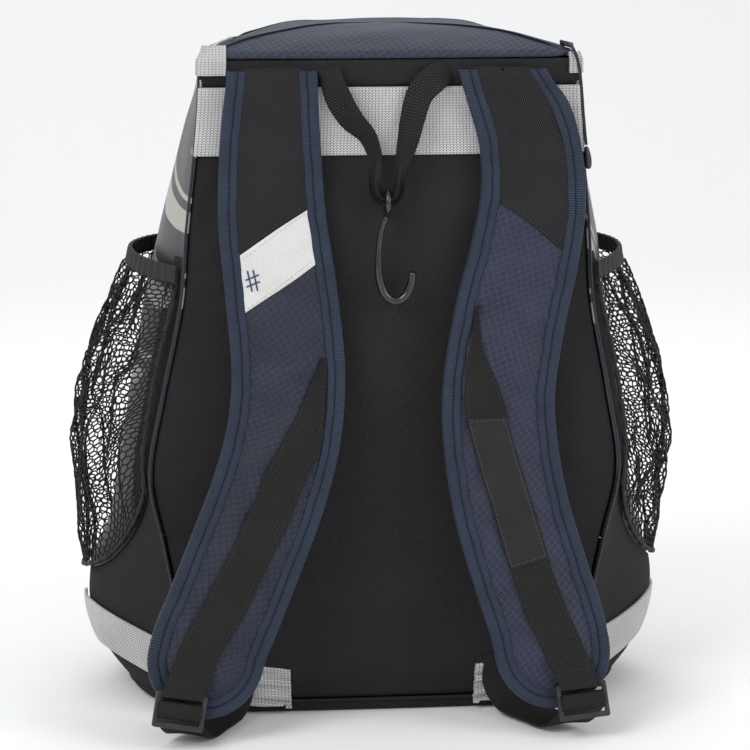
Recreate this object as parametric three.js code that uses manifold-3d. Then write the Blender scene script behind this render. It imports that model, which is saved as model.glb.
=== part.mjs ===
// Baseball bat backpack, in millimetres. +Z is up, the straps face -Y,
// and the origin is the middle of the base
import * as THREE from 'three';
import { mergeVertices } from 'three/addons/utils/BufferGeometryUtils.js';
import Module from 'manifold-3d';

const wasm = await Module();
wasm.setup();

// Body of the bag
const BASE_THICKNESS = 7.6;
const BODY_HEIGHT = 402;
const BODY_WIDTH = 366;
const BACK_WIDTH = 294;
const FRONT_WIDTH = 260;
const BODY_DEPTH = 182;
const BODY_LEAN = 4;
const BACK_CROWN = 3;
const FRONT_CROWN = 9;
const BACK_PADDING = 9;
const CLOTH = 2;
const BASE_ROUNDING = 9;

// Lid, yoke and top trim
const LID_RISE = 16;
const LID_THICKNESS = 2.6;
const LID_FULLNESS = 2.4;
const YOKE_HEIGHT = 16;
const BACK_BAND_HEIGHT = 42;
const TOP_BAND_HEIGHT = 18;
const BAND_THICKNESS = 1.6;
const ZIP_WIDTH = 14;
const ZIP_RISE = 3.5;
const ZIP_TAPE = 1.2;
const ZIP_COIL = 1.4;
const SLIDER_LENGTH = 11;
const SLIDER_WIDTH = 8;
const SLIDER_HEIGHT = 3.4;
const PULL_CORD = 2;
const PULL_LENGTH = 15;
const PULL_RADIUS = 2.7;

// Shoulder straps
const STRAP_BELOW_TOP = 5.9;
const STRAP_FOOT = 18;
const STRAP_WIDTH = 71;
const STRAP_STAND = 62;
const STRAP_SWEEP = 1.7;
const STRAP_PADDING = 10;
const STRAP_EDGE = 4.4;
const STRAP_SLOPE = [3, 10];
const STRAP_RIDGE = 4;
const BINDING_WIDTH = 11.5;
const BINDING_CLOTH = 1.2;
const FACING = 0.9;
const WEBBING_WIDTH = 25;
const ADJUSTER_WIDTH = 24;
const WEBBING = 1.6;
const LABEL_LENGTH = 92;
const BUCKLE_WIDTH = 31;
const BUCKLE_LENGTH = 22;
const BUCKLE_THICKNESS = 4.6;
const BUCKLE_BAR = 3.4;
const ANCHOR_WIDTH = 27;

// Side pockets
const NET = 1.2;
const POCKET_TOP = 284;
const POCKET_BULGE = 30;
const POCKET_FULLNESS = 0.7;
const HEM_HEIGHT = 11;
const HEM_THICKNESS = 2.4;
const HEM_STEPS = 14;
const NET_COLUMNS = 5;
const NET_ROWS = 7;
const NET_GAP = 0.8;
const NET_STAGGER = 0.16;

// Hook and the loop that it hangs from
const LOOP_SPREAD = 88;
const LOOP_DROP = 80;
const LOOP_WIDTH = 17;
const LOOP_STAND = 13.7;
const GATHER = 7.2;
const EYE_RADIUS = 5.2;
const HOOK_WIRE = 3.8;
const HOOK_LENGTH = 61;
const HOOK_WIDTH = 21;

// Clearance between pieces that touch, and between a strip and the curved panel under it;
// then facets to each side of a ring round the body, and down a strap
const GAP = 0.3;
const OVERLAY = 0.8;
const ROUND_STEPS = 11;
const STRAP_STEPS = 10;

// Outline of the body at rising heights, as shares of BODY_HEIGHT, BACK_WIDTH, BODY_WIDTH, FRONT_WIDTH
// and BODY_DEPTH
const BODY_COLUMNS = ['height', 'back', 'side', 'front', 'depth'];
const BODY_ROWS = [
  [0.0, 0.87, 0.855, 0.86, 0.92],
  [0.04, 0.88, 0.94, 0.92, 0.965],
  [0.1, 0.89, 1.0, 0.97, 0.99],
  [0.17, 0.9, 1.0, 1.0, 1.0],
  [0.25, 0.94, 0.94, 1.0, 1.0],
  [0.36, 1.0, 0.89, 1.0, 1.0],
  [0.48, 0.95, 0.85, 0.97, 0.985],
  [0.63, 0.87, 0.8, 0.92, 0.94],
  [0.74, 0.848, 0.748, 0.87, 0.89],
  [0.86, 0.815, 0.678, 0.81, 0.82],
  [0.93, 0.8, 0.638, 0.77, 0.765],
  [1.0, 0.795, 0.603, 0.735, 0.71],
];

// Centre line of each strap, as shares of the way from its top down to STRAP_FOOT, and of BACK_WIDTH from
// the middle
const STRAP_COLUMNS = ['drop', 'aside'];
const STRAP_ROWS = {
  left: [
    [0.0, -0.235], [0.107, -0.24], [0.23, -0.238], [0.352, -0.221], [0.477, -0.209], [0.569, -0.221],
    [0.66, -0.255], [0.75, -0.303], [0.84, -0.354], [0.9, -0.388], [1.0, -0.412],
  ],
  right: [
    [0.0, 0.243], [0.1, 0.296], [0.2, 0.308], [0.295, 0.288], [0.39, 0.257], [0.515, 0.23],
    [0.61, 0.235], [0.7, 0.255], [0.795, 0.29], [0.885, 0.325], [1.0, 0.343],
  ],
};
// Strap width along its length, as shares of STRAP_WIDTH
const WIDTH_COLUMNS = ['along', 'wide'];
const WIDTH_ROWS = [
  [0.0, 0.77], [0.1, 0.86], [0.22, 0.93], [0.35, 0.97], [0.5, 0.985], [0.7, 1.0], [1.0, 1.0],
];
// Webbing sewn on each strap: where its middle lies along the strap, and its offset as a share of STRAP_WIDTH
const WEBBING_COLUMNS = ['along', 'offset'];
const WEBBING_ROWS = {
  left: [
    [0.425, 0.5], [0.51, 0.275], [0.6, 0.1], [0.68, 0.06], [0.76, 0.017], [0.84, -0.02], [0.91, -0.085],
    [0.974, -0.17],
  ],
  right: [
    [0.37, -0.5], [0.44, -0.39], [0.51, -0.16], [0.57, -0.09], [0.68, 0.0], [0.85, 0.015], [0.91, 0.08],
    [0.974, 0.19],
  ],
};
// Seam between the upper and lower strap facing: how far along the strap it starts on the left edge and
// ends on the right
const FACING_SEAM = { left: [0.285, 0.22], right: [0.215, 0.28] };
const PATCH_SHARE = 0.078;
// Upper end of the label patch on the right strap
const LABEL_START = 0.545;
// Middle of each strap's buckle, along the strap and aside as a share of STRAP_WIDTH
const BUCKLE_PLACE = { left: [0.993, -0.17], right: [0.993, 0.19] };

// Adjuster webbing: over the buckle's bars, as shares of its slot's distance and of the lift over the bar;
// then sagging to the bag, as shares of the way and heights in thicknesses of WEBBING;
// then up the bag's foot, as shares of BODY_HEIGHT and of WEBBING out from its seat
const ADJUSTER_BAR = [[-1, -0.15], [-0.87, 0.8], [0, 1.13], [0.87, 0.8], [1, 0], [1.13, -1.53]];
const ADJUSTER_COLUMNS = ['share', 'height'];
const ADJUSTER_ROWS = [[0.2, 3.75], [0.5, 2.8], [0.82, 4.4]];
const ADJUSTER_SEAT = [[0.026, 1.0], [0.045, 0.25], [0.07, 0.12]];
const ADJUSTER_FOOT = { left: 0.13, right: 0.79 };
const ADJUSTER_STEPS = 34;

// Anchor bands round the lower corners: place round the body, as shares of a panel, and height as a share of
// BODY_HEIGHT
const ANCHOR_COLUMNS = ['round', 'height'];
const ANCHOR_ROWS = {
  left: [[-0.55, 0.095], [-0.35, 0.092], [-0.15, 0.075], [0.0, 0.055], [0.12, 0.035], [0.27, 0.022]],
  right: [[1.55, 0.095], [1.35, 0.092], [1.15, 0.075], [1.0, 0.06], [0.88, 0.04], [0.72, 0.022]],
};

// Side pocket: how far the net stands off the side wall at rising heights, as shares of POCKET_BULGE
const BULGE_COLUMNS = ['height', 'stand'];
const BULGE_ROWS = [
  [0.0, 0.07], [0.12, 0.4], [0.3, 0.8], [0.5, 1.0], [0.7, 0.93], [0.85, 0.68], [1.0, 0.42],
];
// Lower edge of the pocket round the side, as shares of the side panel and of BODY_HEIGHT
const FOOT_COLUMNS = ['round', 'height'];
const FOOT_ROWS = [[0.0, 0.35], [0.15, 0.27], [0.3, 0.2], [0.5, 0.172], [1.0, 0.168]];

// Hook loop: centre line as shares of LOOP_SPREAD, LOOP_DROP and LOOP_STAND, width as a share of LOOP_WIDTH,
// how far it is gathered into a bundle, and its twist in degrees
const LOOP_COLUMNS = ['aside', 'drop', 'stand', 'wide', 'gather', 'twist'];
const LOOP_ROWS = [
  [-0.385, 0.0, 0.0, 0.8, 0.0, 0],
  [-0.37, 0.1, 0.36, 0.85, 0.0, 14],
  [-0.33, 0.22, 0.49, 1.0, 0.0, 24],
  [-0.24, 0.39, 0.6, 1.0, 0.0, 34],
  [-0.13, 0.52, 0.74, 0.85, 0.05, 46],
  [-0.08, 0.68, 0.87, 0.7, 0.25, 50],
  [-0.085, 0.84, 1.0, 0.5, 0.8, 25],
  [-0.078, 0.93, 1.0, 0.44, 1.0, 8],
  [-0.045, 0.985, 1.0, 0.42, 1.0, 0],
  [0.0, 1.0, 1.0, 0.42, 1.0, 0],
  [0.045, 0.985, 1.0, 0.42, 1.0, 0],
  [0.078, 0.93, 1.0, 0.44, 1.0, -8],
  [0.09, 0.84, 1.0, 0.5, 0.8, -20],
  [0.115, 0.7, 0.92, 0.7, 0.25, -30],
  [0.145, 0.56, 0.84, 0.85, 0.05, -34],
  [0.18, 0.38, 0.7, 0.95, 0.0, -30],
  [0.24, 0.19, 0.54, 1.0, 0.0, -24],
  [0.34, 0.08, 0.44, 1.0, 0.0, -12],
  [0.44, 0.02, 0.0, 0.8, 0.0, 0],
];

// Fence hook: its centre line from the eye to the tip, as shares of HOOK_WIDTH aside and HOOK_LENGTH down
const HOOK_COLUMNS = ['aside', 'down'];
const HOOK_ROWS = [
  [0, 0.116], [-0.1, 0.2], [-0.2, 0.33], [-0.25, 0.55], [-0.22, 0.77], [-0.04, 0.94],
  [0.24, 1.0], [0.52, 0.955], [0.7, 0.83], [0.745, 0.69],
];
const HOOK_TIP = 0.6;

// Zip slider's width at even steps along it, as shares of SLIDER_WIDTH, and its place across the tape
const SLIDER_WIDTHS = [0.62, 1, 1, 0.8];
const SLIDER_SEAT = 0.36;
const SLIDER_LEAD = 0.24;
// Moulded grip: radius and distance down, as shares of PULL_RADIUS and PULL_LENGTH
const PULL_PROFILE = [[0, 0], [0.5, 0], [0.72, 0.2], [1, 0.45], [1, 0.75], [0.7, 0.96], [0, 1]];

// Pull cord on the zip: chosen points from the slider to the moulded end
const CORD_ROUTE = [
  [115.2, 8.2, 417.4],
  [115.4, 5.8, 417.4],
  [115.7, 3.2, 417.1],
  [116.3, 0.6, 416.0],
  [117.0, -1.6, 414.2],
  [117.8, -3.4, 411.8],
  [118.6, -4.7, 408.9],
  [119.3, -5.4, 405.4],
  [119.9, -5.9, 401.2],
  [120.5, -6.2, 396.2],
  [121.0, -6.4, 390.6],
  [121.5, -6.6, 384.4],
  [122.0, -6.7, 377.6],
  [122.7, -6.7, 370.6],
  [123.4, -6.6, 363.6],
  [124.2, -6.4, 357.0],
];

// Colours, roughness and metalness of the finishes
const FINISH = {
  navy: [0x23304d, 0.75, 0],
  navyBinding: [0x2c3b5c, 0.9, 0],
  black: [0x17181a, 0.9, 0],
  charcoal: [0x3a3d40, 0.6, 0],
  silver: [0xc3c5c7, 0.7, 0],
  white: [0xe8e8e6, 0.6, 0],
  plastic: [0x1b1c1e, 0.35, 0],
  net: [0x0e0f10, 0.85, 0],
};

const bag = new THREE.Group();
bag.name = 'bat_backpack';

function add(name, geometry, finish) {
  const [color, roughness, metalness] = FINISH[finish];
  const mesh = new THREE.Mesh(geometry, new THREE.MeshStandardMaterial({ color, roughness, metalness }));
  mesh.name = name;
  bag.add(mesh);
  return mesh;
}

const mix = (a, b, t) => a + (b - a) * t;
const clamp = (value, low, high) => Math.min(high, Math.max(low, value));
const smooth = (low, high, value) => {
  const t = clamp((value - low) / (high - low), 0, 1);
  return t * t * (3 - 2 * t);
};
const vec = (x, y, z) => new THREE.Vector3(x, y, z);

// One row of a table as named values
const named = (columns, row) => Object.fromEntries(columns.map((name, index) => [name, row[index]]));

// Value of one column of a table at a place along its first column, as a smooth curve through the rows
function look(columns, rows, name, place) {
  const column = columns.indexOf(name);
  const last = rows.length - 1;
  let row = 0;
  while (row < last - 1 && place > rows[row + 1][0]) row += 1;
  const at = (index) => rows[clamp(index, 0, last)][column];
  const span = rows[row + 1][0] - rows[row][0];
  const t = clamp((place - rows[row][0]) / span, 0, 1);
  const slope = (index) => {
    const low = clamp(index - 1, 0, last);
    const high = clamp(index + 1, 0, last);
    return (rows[high][column] - rows[low][column]) / (rows[high][0] - rows[low][0]);
  };
  const a = at(row);
  const b = at(row + 1);
  const t2 = t * t;
  const t3 = t2 * t;
  return (2 * t3 - 3 * t2 + 1) * a + (t3 - 2 * t2 + t) * span * slope(row)
    + (3 * t2 - 2 * t3) * b + (t3 - t2) * span * slope(row + 1);
}

// A closed geometry from points and triangles, turned so that its faces point out
function solid(points, triangles) {
  let volume = 0;
  for (const [a, b, c] of triangles) {
    volume += points[a].dot(points[b].clone().cross(points[c]));
  }
  const geometry = new THREE.BufferGeometry();
  const numbers = points.flatMap((point) => [point.x, point.y, point.z]);
  geometry.setAttribute('position', new THREE.Float32BufferAttribute(numbers, 3));
  geometry.setIndex(triangles.flatMap(([a, b, c]) => (volume < 0 ? [a, c, b] : [a, b, c])));
  geometry.computeVertexNormals();
  return geometry;
}

// A thin wall between two surfaces, each a function of two numbers from 0 to 1
function wall(columns, rows, outer, inner) {
  const points = [];
  const triangles = [];
  const index = (side, i, j) => side * (columns + 1) * (rows + 1) + j * (columns + 1) + i;
  for (const surface of [outer, inner]) {
    for (let j = 0; j <= rows; j += 1) {
      for (let i = 0; i <= columns; i += 1) points.push(surface(i / columns, j / rows));
    }
  }
  const quad = (a, b, c, d) => triangles.push([a, b, c], [a, c, d]);
  for (let j = 0; j < rows; j += 1) {
    for (let i = 0; i < columns; i += 1) {
      quad(index(0, i, j), index(0, i + 1, j), index(0, i + 1, j + 1), index(0, i, j + 1));
      quad(index(1, i, j), index(1, i, j + 1), index(1, i + 1, j + 1), index(1, i + 1, j));
    }
  }
  for (let i = 0; i < columns; i += 1) {
    quad(index(0, i, 0), index(1, i, 0), index(1, i + 1, 0), index(0, i + 1, 0));
    quad(index(0, i, rows), index(0, i + 1, rows), index(1, i + 1, rows), index(1, i, rows));
  }
  for (let j = 0; j < rows; j += 1) {
    quad(index(0, 0, j), index(0, 0, j + 1), index(1, 0, j + 1), index(1, 0, j));
    quad(index(0, columns, j), index(1, columns, j), index(1, columns, j + 1), index(0, columns, j + 1));
  }
  return solid(points, triangles);
}

// A flat section carried through stations: place gives a section point's position at each one
function sweep(section, stations, place) {
  const points = [];
  const triangles = [];
  const count = section.length;
  for (let k = 0; k <= stations; k += 1) {
    for (const point of section) points.push(place(k / stations, point));
  }
  for (let k = 0; k < stations; k += 1) {
    for (let i = 0; i < count; i += 1) {
      const a = k * count + i;
      const b = k * count + ((i + 1) % count);
      triangles.push([a, b, b + count], [a, b + count, a + count]);
    }
  }
  const flat = section.map(([x, y]) => new THREE.Vector2(x, y));
  const turned = THREE.ShapeUtils.isClockWise(flat);
  for (const [a, b, c] of THREE.ShapeUtils.triangulateShape(flat, [])) {
    const end = stations * count;
    triangles.push(turned ? [a, b, c] : [a, c, b]);
    triangles.push(turned ? [end + a, end + c, end + b] : [end + a, end + b, end + c]);
  }
  return solid(points, triangles);
}

// Rings of points joined one above another, with both ends closed to their middle
function stack(rings) {
  const count = rings[0].length;
  const points = rings.flat();
  const triangles = [];
  for (let k = 0; k < rings.length - 1; k += 1) {
    for (let i = 0; i < count; i += 1) {
      const a = k * count + i;
      const b = k * count + ((i + 1) % count);
      triangles.push([a, b, b + count], [a, b + count, a + count]);
    }
  }
  for (const [start, flip] of [[0, true], [(rings.length - 1) * count, false]]) {
    const middle = vec(0, 0, 0);
    for (let i = 0; i < count; i += 1) middle.addScaledVector(points[start + i], 1 / count);
    points.push(middle);
    for (let i = 0; i < count; i += 1) {
      const a = start + i;
      const b = start + ((i + 1) % count);
      triangles.push(flip ? [b, a, points.length - 1] : [a, b, points.length - 1]);
    }
  }
  return solid(points, triangles);
}

const rectangle = (low, high, bottom, top) => [[low, bottom], [high, bottom], [high, top], [low, top]];

// Outline of the body: round runs 0 to 1 across the back, 1 to 2 along the right side, 2 to 3 across the
// front, and 3 to 4 along the left side
function outline(round, height) {
  const share = (name) => look(BODY_COLUMNS, BODY_ROWS, name, clamp(height, 0, 1));
  const back = share('back') * BACK_WIDTH / 2;
  const side = share('side') * BODY_WIDTH / 2;
  const front = share('front') * FRONT_WIDTH / 2;
  const depth = share('depth') * BODY_DEPTH;
  const turn = ((round % 4) + 4) % 4;
  const face = Math.floor(turn);
  const t = turn - face;
  const lean = BODY_LEAN * height;
  const z = BASE_THICKNESS + GAP + height * BODY_HEIGHT;
  const bulge = side - (back + front) / 2;
  const crown = 1 - (2 * t - 1) ** 2;
  if (face === 0) return vec(mix(-back, back, t) + lean, -BACK_CROWN * crown, z);
  if (face === 2) return vec(mix(front, -front, t) + lean, depth + FRONT_CROWN * crown, z);
  const along = face === 1 ? t : 1 - t;
  const out = mix(back, front, along) + bulge * Math.sin(Math.PI * along);
  return vec(face === 1 ? out + lean : lean - out, depth * along, z);
}

// Direction straight out of the body's surface, eased round the corners so that neighbouring walls mitre
function outward(round, height) {
  const step = 0.035;
  const rise = 0.01;
  const along = outline(round + step, height).sub(outline(round - step, height));
  const up = outline(round, clamp(height + rise, 0, 1)).sub(outline(round, clamp(height - rise, 0, 1)));
  return along.cross(up).normalize();
}

const body = (round, height, out) => outline(round, height).addScaledVector(outward(round, height), out);
const levelOf = (z) => (z - BASE_THICKNESS - GAP) / BODY_HEIGHT;
const sideRound = (side, t) => (side === 'right' ? 1 + t : 4 - t);

// One cloth panel of the body between two places round it and two heights, which may change along the panel.
// Crowd over 1 brings the rows of facets closer together near its foot
function panel(from, to, low, high, thickness, columns, rows, out = 0, crowd = 1) {
  const at = (a, b, stand) => {
    const round = mix(from, to, a);
    return body(round, mix(low(a), high(a), b ** crowd), stand);
  };
  return wall(columns, rows, (a, b) => at(a, b, out), (a, b) => at(a, b, out - thickness));
}

const FOOT_CROWD = 1.35;
const fixed = (value) => () => value;
const SEAM = GAP / BODY_HEIGHT;
const EDGE = 0.0016;
const bodyTop = BASE_THICKNESS + GAP + BODY_HEIGHT;
const yokeFoot = 1 - YOKE_HEIGHT / BODY_HEIGHT;
const bandFoot = yokeFoot - BACK_BAND_HEIGHT / BODY_HEIGHT;
const topBandFoot = 1 - TOP_BAND_HEIGHT / BODY_HEIGHT;
const footAt = (t) => look(FOOT_COLUMNS, FOOT_ROWS, 'height', t);

// Base: a flat padded floor with a rounded edge
const BASE_RINGS = [[0, BASE_ROUNDING], [0.3, BASE_ROUNDING / 3], [1, 1]];
add('base_panel', stack(BASE_RINGS.map(([rise, inset]) => {
  const ring = [];
  for (let i = 0; i < 4 * ROUND_STEPS; i += 1) {
    const point = body(i / ROUND_STEPS, 0, -inset);
    ring.push(vec(point.x, point.y, rise * BASE_THICKNESS));
  }
  return ring;
})), 'black');

// Back: padded panel, yoke strip above it, and the wide webbing band sewn over the panel's top
add('back_panel', panel(EDGE, 1 - EDGE, fixed(0), fixed(yokeFoot - SEAM), BACK_PADDING, 8, 12), 'black');
add('yoke_strip', panel(EDGE, 1 - EDGE, fixed(yokeFoot), fixed(1), BACK_PADDING, 8, 1), 'black');
add('back_band', panel(EDGE, 1 - EDGE, fixed(bandFoot), fixed(yokeFoot - SEAM), BAND_THICKNESS, 8, 2,
  GAP + BAND_THICKNESS), 'silver');

// Sides: a coated upper panel, a black lower gusset and a light band along the top
for (const side of ['left', 'right']) {
  const near = sideRound(side, EDGE);
  const far = sideRound(side, 1 - EDGE);
  add(`lower_gusset_${side}`, panel(near, far, fixed(0), (a) => footAt(a) - SEAM, CLOTH, 8, 5), 'black');
  const upper = panel(near, far, footAt, fixed(topBandFoot - SEAM), CLOTH, 8, 9, 0, FOOT_CROWD);
  add(`side_panel_${side}`, upper, 'charcoal');
  add(`top_band_${side}`, panel(near, far, fixed(topBandFoot), fixed(1), CLOTH, 8, 1), 'silver');
}

// Front: one plain panel with a light band along its top
const frontSpan = [2 + EDGE, 3 - EDGE];
const frontTop = fixed(topBandFoot - SEAM);
add('front_panel', panel(...frontSpan, fixed(0), frontTop, CLOTH, 8, 9, 0, FOOT_CROWD), 'black');
add('top_band_front', panel(...frontSpan, fixed(topBandFoot), fixed(1), CLOTH, 8, 1), 'silver');

// Zip: a tape with a raised coil round the sides and front of the lid
const LID_LEVEL = bodyTop + GAP + LID_THICKNESS;
function rim(round, inset, lift) {
  const out = outward(round, 1).setZ(0).normalize();
  const point = outline(round, 1).addScaledVector(out, -inset);
  return point.setZ(LID_LEVEL + ZIP_RISE * inset / ZIP_WIDTH + lift);
}
const ZIP_SECTION = [
  [0, 0], [0.38, 0], [0.5, ZIP_COIL], [0.62, 0], [1, 0], [1, -ZIP_TAPE], [0, -ZIP_TAPE],
];
const ZIP_START = 1 + 1 / ROUND_STEPS;
const ZIP_STEPS = 3 * ROUND_STEPS - 2;
// The tape narrows over its first and last stretch, where the lid turns to meet the yoke
const ZIP_END_SHARE = 0.5;
add('zip_tape', sweep(ZIP_SECTION, ZIP_STEPS, (k, [across, lift]) => {
  const narrow = mix(ZIP_END_SHARE, 1, smooth(0, 1 / ZIP_STEPS, Math.min(k, 1 - k)));
  return rim(mix(ZIP_START, 5 - ZIP_START, k), across * narrow * ZIP_WIDTH, lift);
}), 'black');

// Lid: a domed panel that meets the yoke at the back and the zip elsewhere
function lidPoint(round, share, drop) {
  const turn = ((round % 4) + 4) % 4;
  const zipped = turn <= 1 ? smooth(0.42, 0.58, Math.abs(turn - 0.5)) : 1;
  const inset = zipped * (ZIP_WIDTH + 3 * GAP);
  const edge = rim(turn, inset, 0);
  const top = outline(0.5, 1);
  const middle = vec(top.x, look(BODY_COLUMNS, BODY_ROWS, 'depth', 1) * BODY_DEPTH / 2, LID_LEVEL);
  const point = edge.lerp(middle, share);
  const dome = 1 - (1 - share) ** LID_FULLNESS;
  point.z = mix(rim(turn, inset, 0).z, LID_LEVEL, share) + LID_RISE * dome - drop;
  return point;
}
const LID_SHARES = [0, 0.12, 0.35, 0.7];
const LID_UNDER_SHARES = [0.7, 0.35, 0];
const lidRing = (share, drop) => {
  const ring = [];
  for (let i = 0; i < 4 * ROUND_STEPS; i += 1) ring.push(lidPoint(i / ROUND_STEPS, share, drop));
  return ring;
};
add('top_panel', stack([
  ...LID_UNDER_SHARES.map((share) => lidRing(share, LID_THICKNESS)),
  ...LID_SHARES.map((share) => lidRing(share, 0)),
]), 'navy');

// Shoulder strap: position from a place along it, an offset across it and a lift off its middle plane
const strapLines = {};
const strapTop = bodyTop - STRAP_BELOW_TOP;
for (const side of ['left', 'right']) {
  const seat = BACK_CROWN + BAND_THICKNESS + 3 * GAP + STRAP_EDGE / 2 + BINDING_CLOTH;
  strapLines[side] = new THREE.CatmullRomCurve3(STRAP_ROWS[side].map((row) => {
    const { drop, aside } = named(STRAP_COLUMNS, row);
    const stand = seat + STRAP_STAND * drop ** STRAP_SWEEP;
    return vec(aside * BACK_WIDTH, -stand, mix(strapTop, STRAP_FOOT, drop));
  }));
}

function strapPoint(side, along, offset, lift) {
  const line = strapLines[side];
  const place = clamp(along, 0, 1);
  const tangent = line.getTangentAt(place);
  const level = 1 - smooth(0, 0.12, along);
  const across = vec(0, -1, 0).cross(tangent).normalize().lerp(vec(1, 0, 0), level).normalize();
  const face = tangent.clone().cross(across).normalize();
  return line.getPointAt(place)
    .addScaledVector(tangent, (along - place) * line.getLength())
    .addScaledVector(across, offset)
    .addScaledVector(face, lift);
}

const halfWidth = (along) => look(WIDTH_COLUMNS, WIDTH_ROWS, 'wide', along) * STRAP_WIDTH / 2;
const roundStart = (side) => 1 - STRAP_WIDTH / 2 / strapLines[side].getLength();

// Distance from a place on the strap to its outline
function margin(side, along, offset) {
  const start = roundStart(side);
  if (along <= start) return halfWidth(along) - Math.abs(offset);
  return STRAP_WIDTH / 2 - Math.hypot(offset, (along - start) * strapLines[side].getLength());
}

// Half of the pad's thickness: thin where the binding folds round it, and full past the STRAP_SLOPE
// beside it
const PAD_RISE = STRAP_SLOPE.map((reach) => BINDING_WIDTH + reach);
function padLift(side, along, offset) {
  return mix(STRAP_EDGE, STRAP_PADDING, smooth(...PAD_RISE, margin(side, along, offset))) / 2;
}

// Offsets of the pad's columns from one edge to the other, close together where its thickness changes
function padColumns(wide, inset) {
  const squeeze = Math.min(1, (wide + inset) / (PAD_RISE[1] + STRAP_RIDGE));
  const steps = PAD_RISE.map((rise) => wide - (rise - inset) * squeeze);
  return [-wide, -steps[0], -steps[1], 0, steps[1], steps[0], wide];
}

const padInset = BINDING_CLOTH + 3 * GAP;
const PAD_COLUMNS = [0, 1, 2, 3, 4, 5, 6];
const PAD_SECTION = [
  ...PAD_COLUMNS.map((column) => [column, -1]),
  ...PAD_COLUMNS.slice().reverse().map((column) => [column, 1]),
];
// Facets round the pad's end, and how far they turn: a little short of the very tip
const PAD_END = 7;
const PAD_END_TURN = Math.PI * 0.46;

function strapPad(side) {
  const start = roundStart(side);
  const end = 1 - padInset / strapLines[side].getLength();
  const straight = STRAP_STEPS;
  const stations = straight + PAD_END;
  return sweep(PAD_SECTION, stations, (k, [column, up]) => {
    const step = Math.round(k * stations);
    const angle = clamp((step - straight) / PAD_END, 0, 1) * PAD_END_TURN;
    const along = step <= straight ? start * step / straight : mix(start, end, Math.sin(angle));
    const offset = padColumns((halfWidth(along) - padInset) * Math.cos(angle), padInset)[column];
    return strapPoint(side, along, offset, up * padLift(side, along, offset));
  });
}

// Binding: folded tape round the strap's two edges and its rounded end
function strapBinding(side) {
  const start = roundStart(side);
  const length = strapLines[side].getLength();
  const high = STRAP_EDGE / 2 + GAP + BINDING_CLOTH;
  const inner = high - BINDING_CLOTH;
  const section = [
    [0, -high], [BINDING_WIDTH, -high], [BINDING_WIDTH, -inner], [BINDING_CLOTH, -inner],
    [BINDING_CLOTH, inner], [BINDING_WIDTH, inner], [BINDING_WIDTH, high], [0, high],
  ];
  const straight = STRAP_STEPS;
  const bend = 8;
  const stations = 2 * straight + bend;
  return sweep(section, stations, (k, [inward, lift]) => {
    const step = Math.round(k * stations);
    if (step < straight || step > straight + bend) {
      const along = start * (step < straight ? step : stations - step) / straight;
      const edge = step < straight ? -1 : 1;
      return strapPoint(side, along, edge * (halfWidth(along) - inward), lift);
    }
    const angle = (step - straight) / bend * Math.PI;
    const reach = STRAP_WIDTH / 2 - inward;
    return strapPoint(side, start + Math.sin(angle) * reach / length, -Math.cos(angle) * reach, lift);
  });
}

// Facing cloth on the front of the pad between two slanted lines, inside the binding
function strapFacing(side, from, to) {
  const at = (a, b, lift) => {
    const along = mix(from(a), to(a), b);
    const inset = BINDING_WIDTH + 6 * GAP;
    const offset = padColumns(halfWidth(along) - inset, inset)[Math.round(a * 6)];
    return strapPoint(side, along, offset, padLift(side, along, offset) + 3 * GAP + lift);
  };
  return wall(6, 5, (a, b) => at(a, b, FACING), (a, b) => at(a, b, 0));
}

const webbingSeat = STRAP_PADDING / 2 + 2 * GAP;

// The webbing's tail rises over the binding and the buckle's upper bar
const overWebbing = (along) => (BUCKLE_THICKNESS + 2 * GAP) * smooth(0.91, 0.955, along);

// Webbing sewn down the strap: its edges stop short of the binding
function webbingEdges(side, along) {
  const offset = look(WEBBING_COLUMNS, WEBBING_ROWS[side], 'offset', along) * STRAP_WIDTH;
  const limit = halfWidth(along) - BINDING_WIDTH - 4 * GAP;
  const bound = along < 0.9 ? limit : STRAP_WIDTH;
  const low = clamp(offset - WEBBING_WIDTH / 2, -bound, bound - WEBBING);
  const high = clamp(offset + WEBBING_WIDTH / 2, WEBBING - bound, bound);
  return [low, high];
}

function strapWebbing(side) {
  const rows = WEBBING_ROWS[side];
  const first = rows[0][0] + 0.012;
  const last = rows[rows.length - 1][0];
  const at = (a, b, lift) => {
    const along = mix(first, last, b);
    const [low, high] = webbingEdges(side, along);
    const offset = mix(low, high, a);
    return strapPoint(side, along, offset, webbingSeat + overWebbing(along) + lift);
  };
  return wall(2, 18, (a, b) => at(a, b, WEBBING), (a, b) => at(a, b, 0));
}

for (const side of ['left', 'right']) {
  add(`strap_pad_${side}`, strapPad(side), 'navy');
  add(`strap_binding_${side}`, strapBinding(side), 'navyBinding');
  const [leftSeam, rightSeam] = FACING_SEAM[side];
  const seam = (a) => mix(leftSeam, rightSeam, a);
  add(`strap_facing_${side}`, strapFacing(side, fixed(0.004), (a) => seam(a) - 0.001), 'black');
  if (side === 'left') add('number_patch', strapFacing(side, seam, (a) => seam(a) + PATCH_SHARE), 'white');
  add(`strap_webbing_${side}`, strapWebbing(side), 'black');
}

// Bare label patch sewn on the right strap's webbing
const labelShare = LABEL_LENGTH / strapLines.right.getLength();
function labelPoint(a, b, lift) {
  const along = LABEL_START + b * labelShare;
  const [low, high] = webbingEdges('right', along);
  const offset = mix(low + GAP, high - GAP, a);
  return strapPoint('right', along, offset, webbingSeat + WEBBING + GAP + lift);
}
add('label_patch', wall(2, 8, (a, b) => labelPoint(a, b, FACING), (a, b) => labelPoint(a, b, 0)), 'black');

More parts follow.
